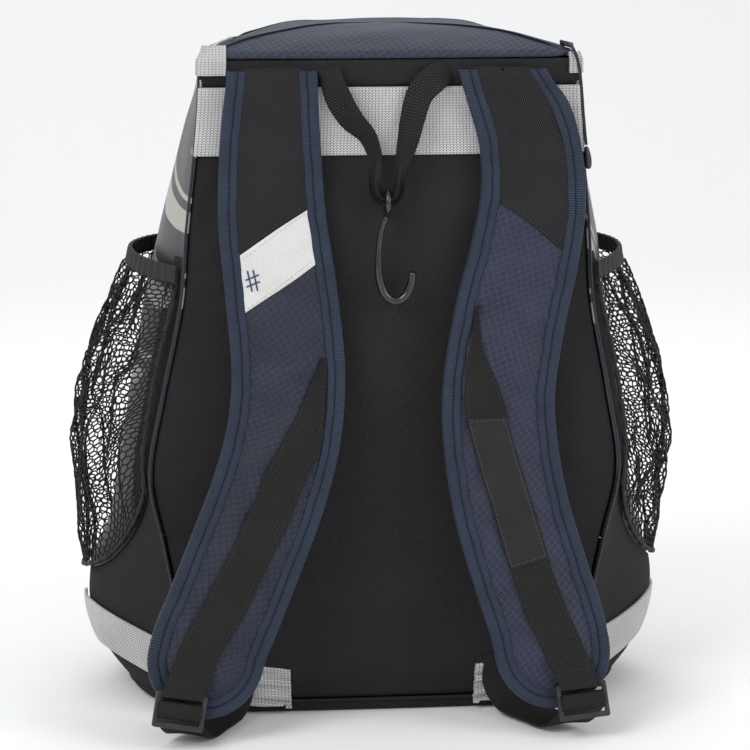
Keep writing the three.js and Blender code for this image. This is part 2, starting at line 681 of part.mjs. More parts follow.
// Ladder buckle: a frame of three bars at the end of each strap's webbing
const buckleLift = webbingSeat + BUCKLE_THICKNESS / 2;
function buckleFrame(side) {
  const [along, offset] = BUCKLE_PLACE[side];
  const at = (da, dq, lift) => strapPoint(side, along + da, offset * STRAP_WIDTH + dq, lift);
  const centre = at(0, 0, buckleLift);
  const down = at(BUCKLE_LENGTH / strapLines[side].getLength(), 0, buckleLift).sub(centre).normalize();
  const across = at(0, BUCKLE_LENGTH, buckleLift).sub(centre).normalize();
  const face = down.clone().cross(across);
  const point = (q, a, n) => centre.clone()
    .addScaledVector(across, q)
    .addScaledVector(down, a)
    .addScaledVector(face, n);
  return { centre, down, across, point };
}

function roundedPlate(width, height, radius) {
  const shape = new THREE.Shape();
  const x = width / 2;
  const y = height / 2;
  shape.moveTo(-x + radius, -y);
  shape.lineTo(x - radius, -y);
  shape.absarc(x - radius, -y + radius, radius, -Math.PI / 2, 0);
  shape.lineTo(x, y - radius);
  shape.absarc(x - radius, y - radius, radius, 0, Math.PI / 2);
  shape.lineTo(-x + radius, y);
  shape.absarc(-x + radius, y - radius, radius, Math.PI / 2, Math.PI);
  shape.lineTo(-x, -y + radius);
  shape.absarc(-x + radius, -y + radius, radius, Math.PI, Math.PI * 1.5);
  return shape;
}

function buckle(side) {
  const frame = buckleFrame(side);
  const shape = roundedPlate(BUCKLE_WIDTH, BUCKLE_LENGTH, BUCKLE_BAR / 2);
  const slot = (BUCKLE_LENGTH - 3 * BUCKLE_BAR) / 2;
  for (const sign of [-1, 1]) {
    const hole = new THREE.Path();
    const middle = sign * (BUCKLE_BAR + slot) / 2;
    const wide = BUCKLE_WIDTH / 2 - BUCKLE_BAR * 0.75;
    hole.moveTo(-wide, middle - slot / 2);
    hole.lineTo(-wide, middle + slot / 2);
    hole.lineTo(wide, middle + slot / 2);
    hole.lineTo(wide, middle - slot / 2);
    shape.holes.push(hole);
  }
  const plate = { depth: BUCKLE_THICKNESS, bevelEnabled: false, curveSegments: 3 };
  const geometry = new THREE.ExtrudeGeometry(shape, plate);
  geometry.translate(0, 0, -BUCKLE_THICKNESS / 2);
  const { across, down, centre } = frame;
  const turned = new THREE.Matrix4().makeBasis(across, down, across.clone().cross(down));
  geometry.applyMatrix4(turned.setPosition(centre));
  return geometry;
}

// Flat tape along points, its width lying along a direction that turns from one end to the other
function tape(points, start, end, width, thickness, stations) {
  const line = new THREE.CatmullRomCurve3(points, false, 'centripetal');
  return sweep(rectangle(-width / 2, width / 2, -thickness / 2, thickness / 2), stations, (k, [q, n]) => {
    const tangent = line.getTangent(k);
    const wide = start.clone().lerp(end, smooth(0.3, 0.9, k));
    wide.addScaledVector(tangent, -wide.dot(tangent)).normalize();
    const normal = tangent.clone().cross(wide);
    return line.getPoint(k).addScaledVector(wide, q).addScaledVector(normal, n);
  });
}

// Adjuster: webbing over the buckle's middle bar, down through its lower slot and back to the bag's foot
function adjuster(side) {
  const frame = buckleFrame(side);
  const over = BUCKLE_THICKNESS / 2 + WEBBING / 2 + 2 * GAP;
  const slot = (BUCKLE_LENGTH - BUCKLE_BAR) / 4;
  const onBar = ADJUSTER_BAR.map(([down, out]) => frame.point(0, down * slot, out * over));
  const seat = OVERLAY + BAND_THICKNESS + GAP + WEBBING / 2;
  const exit = onBar[onBar.length - 1];
  const round = ADJUSTER_FOOT[side];
  const foot = ADJUSTER_SEAT.map(([height, away]) => body(round, height, seat + away * WEBBING));
  const sag = ADJUSTER_ROWS.map((row) => {
    const { share, height } = named(ADJUSTER_COLUMNS, row);
    return exit.clone().lerp(foot[0], share).setZ(height * WEBBING);
  });
  const route = [...onBar, ...sag, ...foot];
  return tape(route, frame.across, vec(1, 0, 0), ADJUSTER_WIDTH, WEBBING, ADJUSTER_STEPS);
}

// Anchor band: wide webbing round each lower corner
function anchorBand(side) {
  const route = new THREE.CatmullRomCurve3(ANCHOR_ROWS[side].map((row) => {
    const { round, height } = named(ANCHOR_COLUMNS, row);
    return vec(round, height, 0);
  }));
  const across = [-0.5, -0.17, 0.17, 0.5];
  const section = [
    ...across.map((share) => [OVERLAY, share * ANCHOR_WIDTH]),
    ...across.slice().reverse().map((share) => [OVERLAY + BAND_THICKNESS, share * ANCHOR_WIDTH]),
  ];
  return sweep(section, 3 * (ANCHOR_ROWS[side].length - 1), (k, [out, rise]) => {
    const at = route.getPoint(k);
    return body(at.x, at.y + rise / BODY_HEIGHT, out);
  });
}

for (const side of ['left', 'right']) {
  add(`buckle_${side}`, buckle(side), 'plastic');
  add(`adjuster_webbing_${side}`, adjuster(side), 'black');
  add(`anchor_band_${side}`, anchorBand(side), 'silver');
}

// Side pocket: coarse net standing off the side wall, cut through in rows of six-sided gaps
const NET_EDGE = 0.02;
const netTop = levelOf(POCKET_TOP - HEM_HEIGHT - GAP);
function pocketStand(t, rise) {
  const across = Math.sin(Math.PI * t) ** POCKET_FULLNESS;
  return OVERLAY + POCKET_BULGE * look(BULGE_COLUMNS, BULGE_ROWS, 'stand', rise) * across;
}
function pocketPoint(side, a, b, out) {
  const t = mix(NET_EDGE, 1 - NET_EDGE, a);
  return body(sideRound(side, t), mix(footAt(t), netTop, b), pocketStand(t, b) + out);
}

// Net of six-sided cells in staggered rows: each whole cell is cut through, and each half cell at an end
// is solid
function net(side) {
  const across = 2 * NET_COLUMNS;
  const lift = NET_STAGGER / NET_ROWS;
  const points = [];
  const triangles = [];
  const vertex = (a, b) => {
    points.push(pocketPoint(side, a, b, NET), pocketPoint(side, a, b, 0));
    return { a, b, outer: points.length - 2, inner: points.length - 1 };
  };
  const quad = (p, q, r, t) => triangles.push([p, q, r], [p, r, t]);
  const slab = (p, q, r, t) => {
    quad(p.outer, q.outer, r.outer, t.outer);
    quad(p.inner, t.inner, r.inner, q.inner);
  };
  const lattice = [];
  for (let row = 0; row <= NET_ROWS; row += 1) {
    const level = row === 0 || row === NET_ROWS;
    const step = (i) => (level ? 0 : lift * (i % 2 === row % 2 ? 1 : -1));
    const line = [];
    for (let i = 0; i <= across; i += 1) line.push(vertex(i / across, row / NET_ROWS + step(i)));
    lattice.push(line);
  }
  for (let row = 0; row < NET_ROWS; row += 1) {
    const odd = row % 2;
    const low = lattice[row];
    const high = lattice[row + 1];
    for (const i of odd ? [0, across - 1] : []) slab(low[i], low[i + 1], high[i + 1], high[i]);
    for (let i = odd; i + 2 <= across; i += 2) {
      const cell = [low[i], low[i + 1], low[i + 2], high[i + 2], high[i + 1], high[i]];
      const middle = { a: cell[1].a, b: (cell[1].b + cell[4].b) / 2 };
      const hole = cell.map(({ a, b }) => vertex(mix(middle.a, a, NET_GAP), mix(middle.b, b, NET_GAP)));
      cell.forEach((corner, index) => {
        const next = (index + 1) % cell.length;
        slab(corner, cell[next], hole[next], hole[index]);
        quad(hole[index].outer, hole[next].outer, hole[next].inner, hole[index].inner);
      });
    }
  }
  const edge = [
    ...lattice[0],
    ...lattice.slice(1).map((line) => line[across]),
    ...lattice[NET_ROWS].slice(0, across).reverse(),
    ...lattice.slice(1, NET_ROWS).reverse().map((line) => line[0]),
  ];
  edge.forEach((corner, index) => {
    const next = edge[(index + 1) % edge.length];
    quad(corner.outer, corner.inner, next.inner, next.outer);
  });
  return solid(points, triangles);
}

function hem(side) {
  return sweep(rectangle(0, HEM_THICKNESS, GAP, GAP + HEM_HEIGHT), HEM_STEPS, (k, [out, rise]) => {
    const t = mix(NET_EDGE, 1 - NET_EDGE, k);
    const point = body(sideRound(side, t), netTop, pocketStand(t, 1) + out);
    const above = body(sideRound(side, t), netTop + rise / BODY_HEIGHT, pocketStand(t, 1) + out);
    return vec(above.x, above.y, point.z + rise);
  });
}

for (const side of ['left', 'right']) {
  add(`pocket_net_${side}`, net(side), 'net');
  add(`pocket_hem_${side}`, hem(side), 'black');
}

// Hook loop: webbing from the yoke, gathered where it passes through the hook's eye
const loopSeat = BACK_CROWN + GAP + WEBBING / 2;
const loopTop = bodyTop - GAP - LOOP_WIDTH * 0.25;
const loopPoint = ([aside, drop, stand]) => vec(
  aside * LOOP_SPREAD,
  -loopSeat - stand * LOOP_STAND,
  loopTop - drop * LOOP_DROP,
);
const loopLine = new THREE.CatmullRomCurve3(LOOP_ROWS.map(loopPoint), false, 'centripetal');
const polygon = (sides) => Array.from({ length: sides }, (_, i) => {
  const angle = (i + 0.5) * 2 * Math.PI / sides;
  const reach = 1 / Math.cos(Math.PI / sides);
  return [reach * Math.cos(angle), reach * Math.sin(angle)];
});
const OCTAGON = polygon(8);
const HEXAGON = polygon(6);
const LOOP_STEPS = 2 * (LOOP_ROWS.length - 1);
add('hook_loop', sweep(HEXAGON, LOOP_STEPS, (k, [q, n]) => {
  const place = k * (LOOP_ROWS.length - 1);
  const row = Math.min(Math.floor(place), LOOP_ROWS.length - 2);
  const part = (name) => {
    const column = LOOP_COLUMNS.indexOf(name);
    return mix(LOOP_ROWS[row][column], LOOP_ROWS[row + 1][column], place - row);
  };
  const tangent = loopLine.getTangent(k);
  const across = tangent.clone().cross(vec(0, 1, 0)).normalize();
  across.applyAxisAngle(tangent, THREE.MathUtils.degToRad(part('twist')));
  const normal = tangent.clone().cross(across);
  const wide = mix(LOOP_WIDTH * part('wide'), GATHER, part('gather'));
  const thick = mix(WEBBING, GATHER, part('gather'));
  return loopLine.getPoint(k).addScaledVector(across, q * wide / 2).addScaledVector(normal, n * thick / 2);
}), 'black');

// Fence hook: a closed eye round the gathered webbing, with a stem that curves up to an open tip
const asManifold = (geometry) => {
  const plain = geometry.clone();
  plain.deleteAttribute('normal');
  plain.deleteAttribute('uv');
  const merged = mergeVertices(plain);
  return new wasm.Manifold(new wasm.Mesh({
    numProp: 3,
    vertProperties: Float32Array.from(merged.attributes.position.array),
    triVerts: Uint32Array.from(merged.index.array),
  }));
};
const fromManifold = (shape) => {
  const { vertProperties, triVerts } = shape.getMesh();
  const geometry = new THREE.BufferGeometry();
  geometry.setAttribute('position', new THREE.BufferAttribute(Float32Array.from(vertProperties), 3));
  geometry.setIndex(Array.from(triVerts));
  geometry.computeVertexNormals();
  return geometry;
};

const gathered = loopPoint(LOOP_ROWS[(LOOP_ROWS.length - 1) / 2]);
const hookAxis = gathered.clone().setZ(gathered.z - (EYE_RADIUS - GATHER / 2 - 2 * GAP));
const hookLine = new THREE.CatmullRomCurve3(HOOK_ROWS.map((row) => {
  const { aside, down } = named(HOOK_COLUMNS, row);
  return vec(hookAxis.x + aside * HOOK_WIDTH, hookAxis.y, hookAxis.z - down * HOOK_LENGTH);
}));
const eye = new THREE.TorusGeometry(EYE_RADIUS + HOOK_WIRE / 2, HOOK_WIRE / 2, 8, 14);
eye.rotateY(Math.PI / 2);
eye.translate(hookAxis.x, hookAxis.y, hookAxis.z);
const shank = sweep(OCTAGON, 16, (k, [q, n]) => {
  const tangent = hookLine.getTangent(k);
  const aside = tangent.clone().cross(vec(0, 1, 0)).normalize();
  const radius = HOOK_WIRE / 2 * (k < 1 ? 1 : HOOK_TIP);
  return hookLine.getPoint(k).addScaledVector(aside, q * radius).add(vec(0, n * radius, 0));
});
add('fence_hook', fromManifold(asManifold(eye).add(asManifold(shank))), 'plastic');

// Zip slider on the coil's right end, with a short pull cord that ends in a moulded grip
const topDepth = look(BODY_COLUMNS, BODY_ROWS, 'depth', 1) * BODY_DEPTH;
const SLIDER_STEPS = SLIDER_WIDTHS.length - 1;
add('zip_slider', sweep(rectangle(-0.5, 0.5, 0, SLIDER_HEIGHT), SLIDER_STEPS, (k, [q, lift]) => {
  const wide = SLIDER_WIDTHS[Math.round(k * SLIDER_STEPS)] * SLIDER_WIDTH;
  const round = ZIP_START + (k - SLIDER_LEAD) * SLIDER_LENGTH / topDepth;
  return rim(round, SLIDER_SEAT * ZIP_WIDTH + q * wide, ZIP_COIL + GAP + lift);
}), 'plastic');
const cordLine = new THREE.CatmullRomCurve3(CORD_ROUTE.map(([x, y, z]) => vec(x, y, z)));
const cordRound = HEXAGON.map(([x, y]) => new THREE.Vector2(x, y).multiplyScalar(PULL_CORD / 2));
const cordSweep = { extrudePath: cordLine, steps: 15, bevelEnabled: false };
add('zip_cord', new THREE.ExtrudeGeometry(new THREE.Shape(cordRound), cordSweep), 'black');
const grip = new THREE.LatheGeometry(
  PULL_PROFILE.map(([radius, down]) => new THREE.Vector2(radius * PULL_RADIUS, down * PULL_LENGTH)),
  8,
);
const gripMesh = add('zip_pull', grip, 'plastic');
const cordEnd = cordLine.getPoint(1);
const cordAim = cordLine.getTangent(1);
gripMesh.quaternion.setFromUnitVectors(vec(0, 1, 0), cordAim);
gripMesh.position.copy(cordEnd).addScaledVector(cordAim, GAP);

// The origin is the middle of the base
bag.position.y = -look(BODY_COLUMNS, BODY_ROWS, 'depth', 0) * BODY_DEPTH / 2;

export default bag;
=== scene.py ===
import math

import bpy
import numpy as np
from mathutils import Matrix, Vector
from mathutils.bvhtree import BVHTree


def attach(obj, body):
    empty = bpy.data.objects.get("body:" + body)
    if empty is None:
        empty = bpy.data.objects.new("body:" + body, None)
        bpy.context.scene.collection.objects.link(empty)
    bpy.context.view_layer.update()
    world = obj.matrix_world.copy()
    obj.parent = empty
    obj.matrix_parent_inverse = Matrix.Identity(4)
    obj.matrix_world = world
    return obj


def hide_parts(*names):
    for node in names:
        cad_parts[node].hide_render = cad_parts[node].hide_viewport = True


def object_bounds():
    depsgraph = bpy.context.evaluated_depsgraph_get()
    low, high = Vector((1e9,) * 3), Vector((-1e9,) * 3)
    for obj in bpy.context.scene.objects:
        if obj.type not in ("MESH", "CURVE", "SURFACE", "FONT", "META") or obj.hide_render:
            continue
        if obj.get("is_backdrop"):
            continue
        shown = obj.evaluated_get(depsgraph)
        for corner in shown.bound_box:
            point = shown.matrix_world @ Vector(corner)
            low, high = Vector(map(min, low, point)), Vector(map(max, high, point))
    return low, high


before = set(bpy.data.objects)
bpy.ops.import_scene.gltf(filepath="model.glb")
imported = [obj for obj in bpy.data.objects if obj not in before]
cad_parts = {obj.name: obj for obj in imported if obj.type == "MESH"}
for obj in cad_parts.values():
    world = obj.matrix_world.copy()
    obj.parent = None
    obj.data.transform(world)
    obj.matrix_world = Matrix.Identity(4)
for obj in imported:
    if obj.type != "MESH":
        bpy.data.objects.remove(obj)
cad_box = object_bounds()

# Studio: the camera at the photograph's height and side, a pale floor that curves up behind the
# bag, and three broad soft lights
VIEW_TARGET = Vector((-0.00561, -0.08372, 0.2146))
VIEW_TURN = math.radians(6)
VIEW_DROP = math.radians(10)
VIEW_DISTANCE = 2.0
scene = bpy.context.scene
look = Vector((
    math.sin(VIEW_TURN) * math.cos(VIEW_DROP),
    math.cos(VIEW_TURN) * math.cos(VIEW_DROP),
    -math.sin(VIEW_DROP),
))
lens = bpy.data.cameras.new("camera")
lens.lens = 154.84
lens.sensor_width = 36
lens.clip_end = 20
camera = bpy.data.objects.new("camera", lens)
scene.collection.objects.link(camera)
camera.location = VIEW_TARGET - look * VIEW_DISTANCE
camera.rotation_euler = look.to_track_quat("-Z", "Y").to_euler()
scene.camera = camera
scene.view_settings.view_transform = "Standard"

world = bpy.data.worlds.new("studio")
scene.world = world
world.use_nodes = True
world.node_tree.nodes["Background"].inputs["Color"].default_value = (0.97, 0.98, 1, 1)
world.node_tree.nodes["Background"].inputs["Strength"].default_value = 0.75
SOFT_LIGHTS = [((-1.5, -1.7, 1.9), 1.3, 34), ((1.7, -1.5, 1.1), 1.2, 16), ((0.2, 1.1, 1.9), 1.2, 9)]
for place, size, power in SOFT_LIGHTS:
    light = bpy.data.lights.new("soft_light", "AREA")
    light.size = size
    light.energy = power
    lamp = bpy.data.objects.new("soft_light", light)
    scene.collection.objects.link(lamp)
    lamp.location = place
    lamp.rotation_euler = (VIEW_TARGET - Vector(place)).to_track_quat("-Z", "Y").to_euler()


def only(piece):
    """Make a piece the one thing that the next operators act on."""
    bpy.ops.object.select_all(action="DESELECT")
    piece.select_set(True)
    bpy.context.view_layer.objects.active = piece


def grid(name, across, along):
    """A flat grid of faces with its own place in the mesh; gives it with each point's two shares."""
    bpy.ops.object.select_all(action="DESELECT")
    bpy.ops.mesh.primitive_grid_add(x_subdivisions=across, y_subdivisions=along, size=1)
    piece = bpy.context.object
    piece.name = piece.data.name = name
    flat = np.empty(len(piece.data.vertices) * 3)
    piece.data.vertices.foreach_get("co", flat)
    shares = flat.reshape(-1, 3)[:, :2] + 0.5
    return piece, np.clip(shares[:, 0], 0, 1), np.clip(shares[:, 1], 0, 1)


def shaded(piece):
    only(piece)
    bpy.ops.object.shade_smooth()


def sealed(piece, gap=None):
    """Merge the points that are closer than gap, in metres, and turn every face outward."""
    only(piece)
    bpy.ops.object.mode_set(mode="EDIT")
    bpy.ops.mesh.select_all(action="SELECT")
    if gap:
        bpy.ops.mesh.remove_doubles(threshold=gap)
    bpy.ops.mesh.normals_make_consistent(inside=False)
    bpy.ops.object.mode_set(mode="OBJECT")
    bpy.ops.object.shade_smooth()


def place_points(piece, points):
    piece.data.vertices.foreach_set("co", np.ascontiguousarray(points, dtype=np.float64).ravel())
    piece.data.update()


FLOOR_REACH = 3.0
FLOOR_WIDTH = 9
PAPER_WHITE = 0.93
BACKDROP_AT = 1.8
BACKDROP_BEND = 1.2
floor, floor_a, floor_b = grid("floor", 8, 64)
run = floor_b * (FLOOR_REACH + BACKDROP_AT + BACKDROP_BEND * math.pi / 2 + FLOOR_REACH)
bend = np.clip((run - FLOOR_REACH - BACKDROP_AT) / BACKDROP_BEND, 0, math.pi / 2)
up = np.maximum(run - FLOOR_REACH - BACKDROP_AT - BACKDROP_BEND * math.pi / 2, 0)
back = np.minimum(run - FLOOR_REACH, BACKDROP_AT) + BACKDROP_BEND * np.sin(bend)
up += BACKDROP_BEND * (1 - np.cos(bend))
place_points(floor, np.column_stack([(floor_a - 0.5) * FLOOR_WIDTH, back, up]))
shaded(floor)
floor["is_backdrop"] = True
ground = bpy.data.materials.new("white_paper")
ground.use_nodes = True
ground.node_tree.nodes["Principled BSDF"].inputs["Base Color"].default_value = (PAPER_WHITE,) * 3 + (1,)
ground.node_tree.nodes["Principled BSDF"].inputs["Roughness"].default_value = 0.9
floor.data.materials.append(ground)


# Zip cord: the short braided cord that hangs from the slider at the bag's right top corner, two
# millimetres thick, limp, and moulded into its grip at the end
def catmull(points, count=600):
    """A smooth line through points, as many short steps."""
    knots = np.array(points, float)
    parts = len(knots) - 1
    knots = np.vstack([2 * knots[0] - knots[1], knots, 2 * knots[-1] - knots[-2]])
    step = np.linspace(0, parts, count + 1)
    first = np.minimum(step.astype(int), parts - 1)
    t = (step - first)[:, None]
    a, b, c, d = knots[first], knots[first + 1], knots[first + 2], knots[first + 3]
    ab, bc, cd = (
        np.maximum(np.linalg.norm(q - p, axis=1) ** 0.5, 1e-4)[:, None] for p, q in ((a, b), (b, c), (c, d))
    )
    start = ((b - a) / ab - (c - a) / (ab + bc) + (c - b) / bc) * bc
    end = ((c - b) / bc - (d - b) / (bc + cd) + (d - c) / cd) * bc
    return b + t * start + t**2 * (3 * (c - b) - 2 * start - end) + t**3 * (2 * (b - c) + start + end)


def unit(vectors):
    return vectors / np.maximum(np.linalg.norm(vectors, axis=-1, keepdims=True), 1e-9)


class Line:
    """A smooth line that gives points and directions at even shares of its length."""

    def __init__(self, points, count=900):
        self.points = catmull(points, count)
        run = np.concatenate([[0], np.cumsum(np.linalg.norm(np.diff(self.points, axis=0), axis=1))])
        self.length = run[-1]
        self.share = run / run[-1]
        self.tangents = unit(np.gradient(self.points, axis=0))

    def _read(self, table, share):
        share = np.clip(share, 0, 1)
        return np.stack([np.interp(share, self.share, table[:, i]) for i in range(3)], axis=-1)

    def point(self, share):
        return self._read(self.points, share)

    def tangent(self, share):
        return unit(self._read(self.tangents, share))


# The solids' own drawing stands with its back at y = 0; the row's frame has the base's middle there
BACK_SEAT = 83.72


def metres(points):
    return (np.asarray(points, float) - [0, BACK_SEAT, 0]) / 1000


def set_uv(piece, u, v):
    """A map in metres from two numbers for each vertex."""
    layer = piece.data.uv_layers.new(name="cloth") if not piece.data.uv_layers else piece.data.uv_layers[0]
    layer.name = "cloth"
    loops = np.empty(len(piece.data.loops), int)
    piece.data.loops.foreach_get("vertex_index", loops)
    layer.data.foreach_set("uv", np.column_stack([u[loops], v[loops]]).ravel())


def run_modifier(piece, name, kind, **settings):
    modifier = piece.modifiers.new(name, kind)
    for key, value in settings.items():
        setattr(modifier, key, value)
    only(piece)
    bpy.ops.object.modifier_apply(modifier=name)


def laid(name, place, across, along, thickness=0, rounding=0.3, flip=False):
    """A sheet laid on a surface that place gives in millimetres, with its cloth's thickness below it."""
    piece, a, b = grid(name, across, along)
    place_points(piece, metres(place(a, b)))
    many = np.linspace(0, 1, 60)
    mid = np.full(60, 0.5)
    wide = np.linalg.norm(np.diff(place(many, mid), axis=0), axis=1).sum() / 1000
    tall = np.linalg.norm(np.diff(place(mid, many), axis=0), axis=1).sum() / 1000
    set_uv(piece, a * wide, b * tall)
    if flip:
        piece.data.flip_normals()
    if thickness:
        run_modifier(piece, "cloth", "SOLIDIFY", thickness=thickness / 1000, offset=-1)
        if rounding:
            run_modifier(
                piece, "edge", "BEVEL", width=thickness * rounding / 1000, segments=2,
                limit_method="ANGLE", angle_limit=math.radians(50),
            )
    shaded(piece)
    return piece


def swept(name, section, stations, place, smooth_angle=None):
    """A closed section carried along: place turns the section's numbers and a share into millimetres."""
    section = np.array(section, float)
    count = len(section)
    piece, a, b = grid(name, count, stations)
    index = np.rint(a * count).astype(int) % count
    place_points(piece, metres(place(section[index, 0], section[index, 1], b)))
    ring = np.linalg.norm(np.roll(section, -1, axis=0) - section, axis=1)
    around = np.concatenate([[0], np.cumsum(ring)]) / 1000
    many = np.linspace(0, 1, 200)
    middle = section.mean(axis=0)
    length = np.linalg.norm(
        np.diff(place(np.full(200, middle[0]), np.full(200, middle[1]), many), axis=0), axis=1
    ).sum() / 1000
    set_uv(piece, around[np.rint(a * count).astype(int)], b * length)
    only(piece)
    bpy.ops.object.mode_set(mode="EDIT")
    bpy.ops.mesh.select_all(action="SELECT")
    bpy.ops.mesh.remove_doubles(threshold=1e-6)
    bpy.ops.mesh.fill_holes(sides=0)
    bpy.ops.mesh.select_all(action="SELECT")
    bpy.ops.mesh.normals_make_consistent(inside=False)
    bpy.ops.object.mode_set(mode="OBJECT")
    shaded(piece)
    if smooth_angle:
        bpy.ops.object.shade_smooth_by_angle(angle=math.radians(smooth_angle))
    return piece


def circle(radius, sides):
    turn = np.arange(sides) * 2 * math.pi / sides
    return [(radius * math.cos(t), radius * math.sin(t)) for t in turn]


def framed(tangent, hint):
    """Two directions across a line, the first as near to hint as it can be."""
    wide = unit(hint - tangent * np.sum(hint * tangent, axis=-1, keepdims=True))
    return wide, np.cross(tangent, wide)


def tube(name, line, radius, sides=10, stations=80, hint=(0.3, 1, 0.2), swell=None):
    """A round cord along a line, in millimetres."""
    def at(q, n, k):
        wide, normal = framed(line.tangent(k), np.array(hint, float))
        grow = 1 if swell is None else swell(k)[:, None]
        return line.point(k) + (wide * q[:, None] + normal * n[:, None]) * grow
    return swept(name, circle(radius, sides), stations, at)


class Thread:
    """A value in a material's nodes that Python's signs work on."""

    def __init__(self, tree, socket=None):
        self.tree = tree
        self.socket = socket

    def node(self, kind, settings=None, output=0, sockets=None):
        made = self.tree.nodes.new("ShaderNode" + kind)
        for key, value in (settings or {}).items():
            setattr(made, key, value)
        for key, value in (sockets or {}).items():
            if isinstance(value, Thread):
                self.tree.links.new(value.socket, made.inputs[key])
            else:
                made.inputs[key].default_value = value
        return Thread(self.tree, made.outputs[output])

    def math(self, operation, *others):
        return self.node("Math", {"operation": operation}, sockets=dict(enumerate((self, *others))))

    def __add__(self, other):
        return self.math("ADD", other)

    def __mul__(self, other):
        return self.math("MULTIPLY", other)

    def __sub__(self, other):
        return self.math("SUBTRACT", other)

    def __rsub__(self, other):
        return self.node("Math", {"operation": "SUBTRACT"}, sockets={0: other, 1: self})

    def __truediv__(self, other):
        return self.math("DIVIDE", other)

    __radd__ = __add__
    __rmul__ = __mul__

    def fract(self):
        return self.math("FRACT")

    def floor(self):
        return self.math("FLOOR")

    def wave(self):
        """0 to 1 and back over each whole number."""
        return self.math("MULTIPLY", 2 * math.pi).math("COSINE") * -0.5 + 0.5

    def ease(self, low, high):
        """0 below low, 1 above high, smooth between."""
        return self.node(
            "MapRange", {"interpolation_type": "SMOOTHSTEP"},
            sockets={"Value": self, "From Min": low, "From Max": high},
        )

    def most(self, other):
        return self.math("MAXIMUM", other)


def tone(text):
    """A colour written as in a paint chart, as linear light."""
    parts = [int(text[i:i + 2], 16) / 255 for i in (1, 3, 5)]
    return (*[c / 12.92 if c <= 0.04045 else ((c + 0.055) / 1.055) ** 2.4 for c in parts], 1)


class Finish:
    """A material being made: its map in metres, and what its shader is given."""

    def __init__(self, name, **constants):
        self.material = bpy.data.materials.new(name)
        self.material.use_nodes = True
        self.tree = self.material.node_tree
        self.shader = self.tree.nodes["Principled BSDF"]
        for key, value in constants.items():
            self.shader.inputs[key.replace("_", " ")].default_value = value
        self.start = Thread(self.tree)
        place = self.start.node("UVMap", {"uv_map": "cloth"})
        self.u = self.start.node("SeparateXYZ", output=0, sockets={"Vector": place})
        self.v = self.start.node("SeparateXYZ", output=1, sockets={"Vector": place})
        self.place = self.start.node("TexCoord", output=3)

    def noise(self, size, detail=3, where=None, roughness=0.5):
        """Soft cloudy values about 0.5, size in metres."""
        return self.start.node(
            "TexNoise", output=0,
            sockets={
                "Vector": where or self.place, "Scale": 1 / size, "Detail": detail, "Roughness": roughness,
            },
        )

    def mix(self, first, second, share):
        return self.start.node(
            "Mix", {"data_type": "RGBA"}, output=2, sockets={0: share, 6: first, 7: second}
        )

    def give(self, **sockets):
        for key, value in sockets.items():
            socket = self.shader.inputs[key.replace("_", " ")]
            if isinstance(value, Thread):
                self.tree.links.new(value.socket, socket)
            else:
                socket.default_value = value

    def colour(self, first, second, share):
        self.give(Base_Color=self.mix(tone(first), tone(second), share))

    def bump(self, height, depth, strength=1.0):
        """Raise the surface by height, where 1 is depth in metres."""
        normal = self.start.node("Bump", sockets={"Height": height, "Distance": depth, "Strength": strength})
        self.give(Normal=normal)


def done(piece, finish, slot, *nodes, body="bag"):
    """Dress a finished piece, hide the solids that it stands for and hang it on the empty of the body that it
    rides on.
    """
    piece.data.materials.clear()
    piece.data.materials.append(finish.material)
    if nodes:
        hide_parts(*nodes)
    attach(piece, body)
    return piece


braid = Finish("braided_cord", Roughness=0.7)
strand = (braid.u / 0.0016 + braid.v / 0.0016).wave() * (braid.u / 0.0016 - braid.v / 0.0016).wave()
braid.colour("#0d0d0f", "#3a3a40", strand)
braid.bump(strand, 0.0003)

CORD_DIAMETER = 2.0
CORD_ROUTE = [
    (115.2, 8.2, 417.4), (115.4, 5.8, 417.4), (115.7, 3.2, 417.1), (116.3, 0.6, 416.0),
    (117.0, -1.6, 414.2), (117.8, -3.4, 411.8), (118.6, -4.7, 408.9), (119.3, -5.4, 405.4),
    (119.9, -5.9, 401.2), (120.5, -6.2, 396.2), (121.0, -6.4, 390.6), (121.5, -6.6, 384.4),
    (122.0, -6.7, 377.6), (122.7, -6.7, 370.6), (123.4, -6.6, 363.6), (124.2, -6.4, 357.0),
]
cord_line = Line(CORD_ROUTE)
cord = tube("zip_cord_braid", cord_line, CORD_DIAMETER / 2, 10, 60)
done(cord, braid, "zip_cord", "zip_cord")


# Body of the bag: a shell of cloth panels sewn edge to edge, drawn as in the part's source. Its
# outline runs 0 to 1 across the back, 1 to 2 up the right side, 2 to 3 across the front, 3 to 4 left
BASE_THICKNESS = 7.6
CLEARANCE = 0.3
BODY_HEIGHT = 402
BODY_WIDTH = 366
BACK_WIDTH = 294
FRONT_WIDTH = 260
BODY_DEPTH = 182
BODY_LEAN = 4
BACK_CROWN = 3
FRONT_CROWN = 9
BODY_TOP = BASE_THICKNESS + CLEARANCE + BODY_HEIGHT
# Shares of the body's height, back width, width, front width and depth
BODY_ROWS = [
    (0.0, 0.87, 0.855, 0.86, 0.92), (0.04, 0.88, 0.94, 0.92, 0.965), (0.1, 0.89, 1.0, 0.97, 0.99),
    (0.17, 0.9, 1.0, 1.0, 1.0), (0.25, 0.94, 0.94, 1.0, 1.0), (0.36, 1.0, 0.89, 1.0, 1.0),
    (0.48, 0.95, 0.85, 0.97, 0.985), (0.63, 0.87, 0.8, 0.92, 0.94), (0.74, 0.848, 0.748, 0.87, 0.89),
    (0.86, 0.815, 0.678, 0.81, 0.82), (0.93, 0.8, 0.638, 0.77, 0.765), (1.0, 0.795, 0.603, 0.735, 0.71),
]


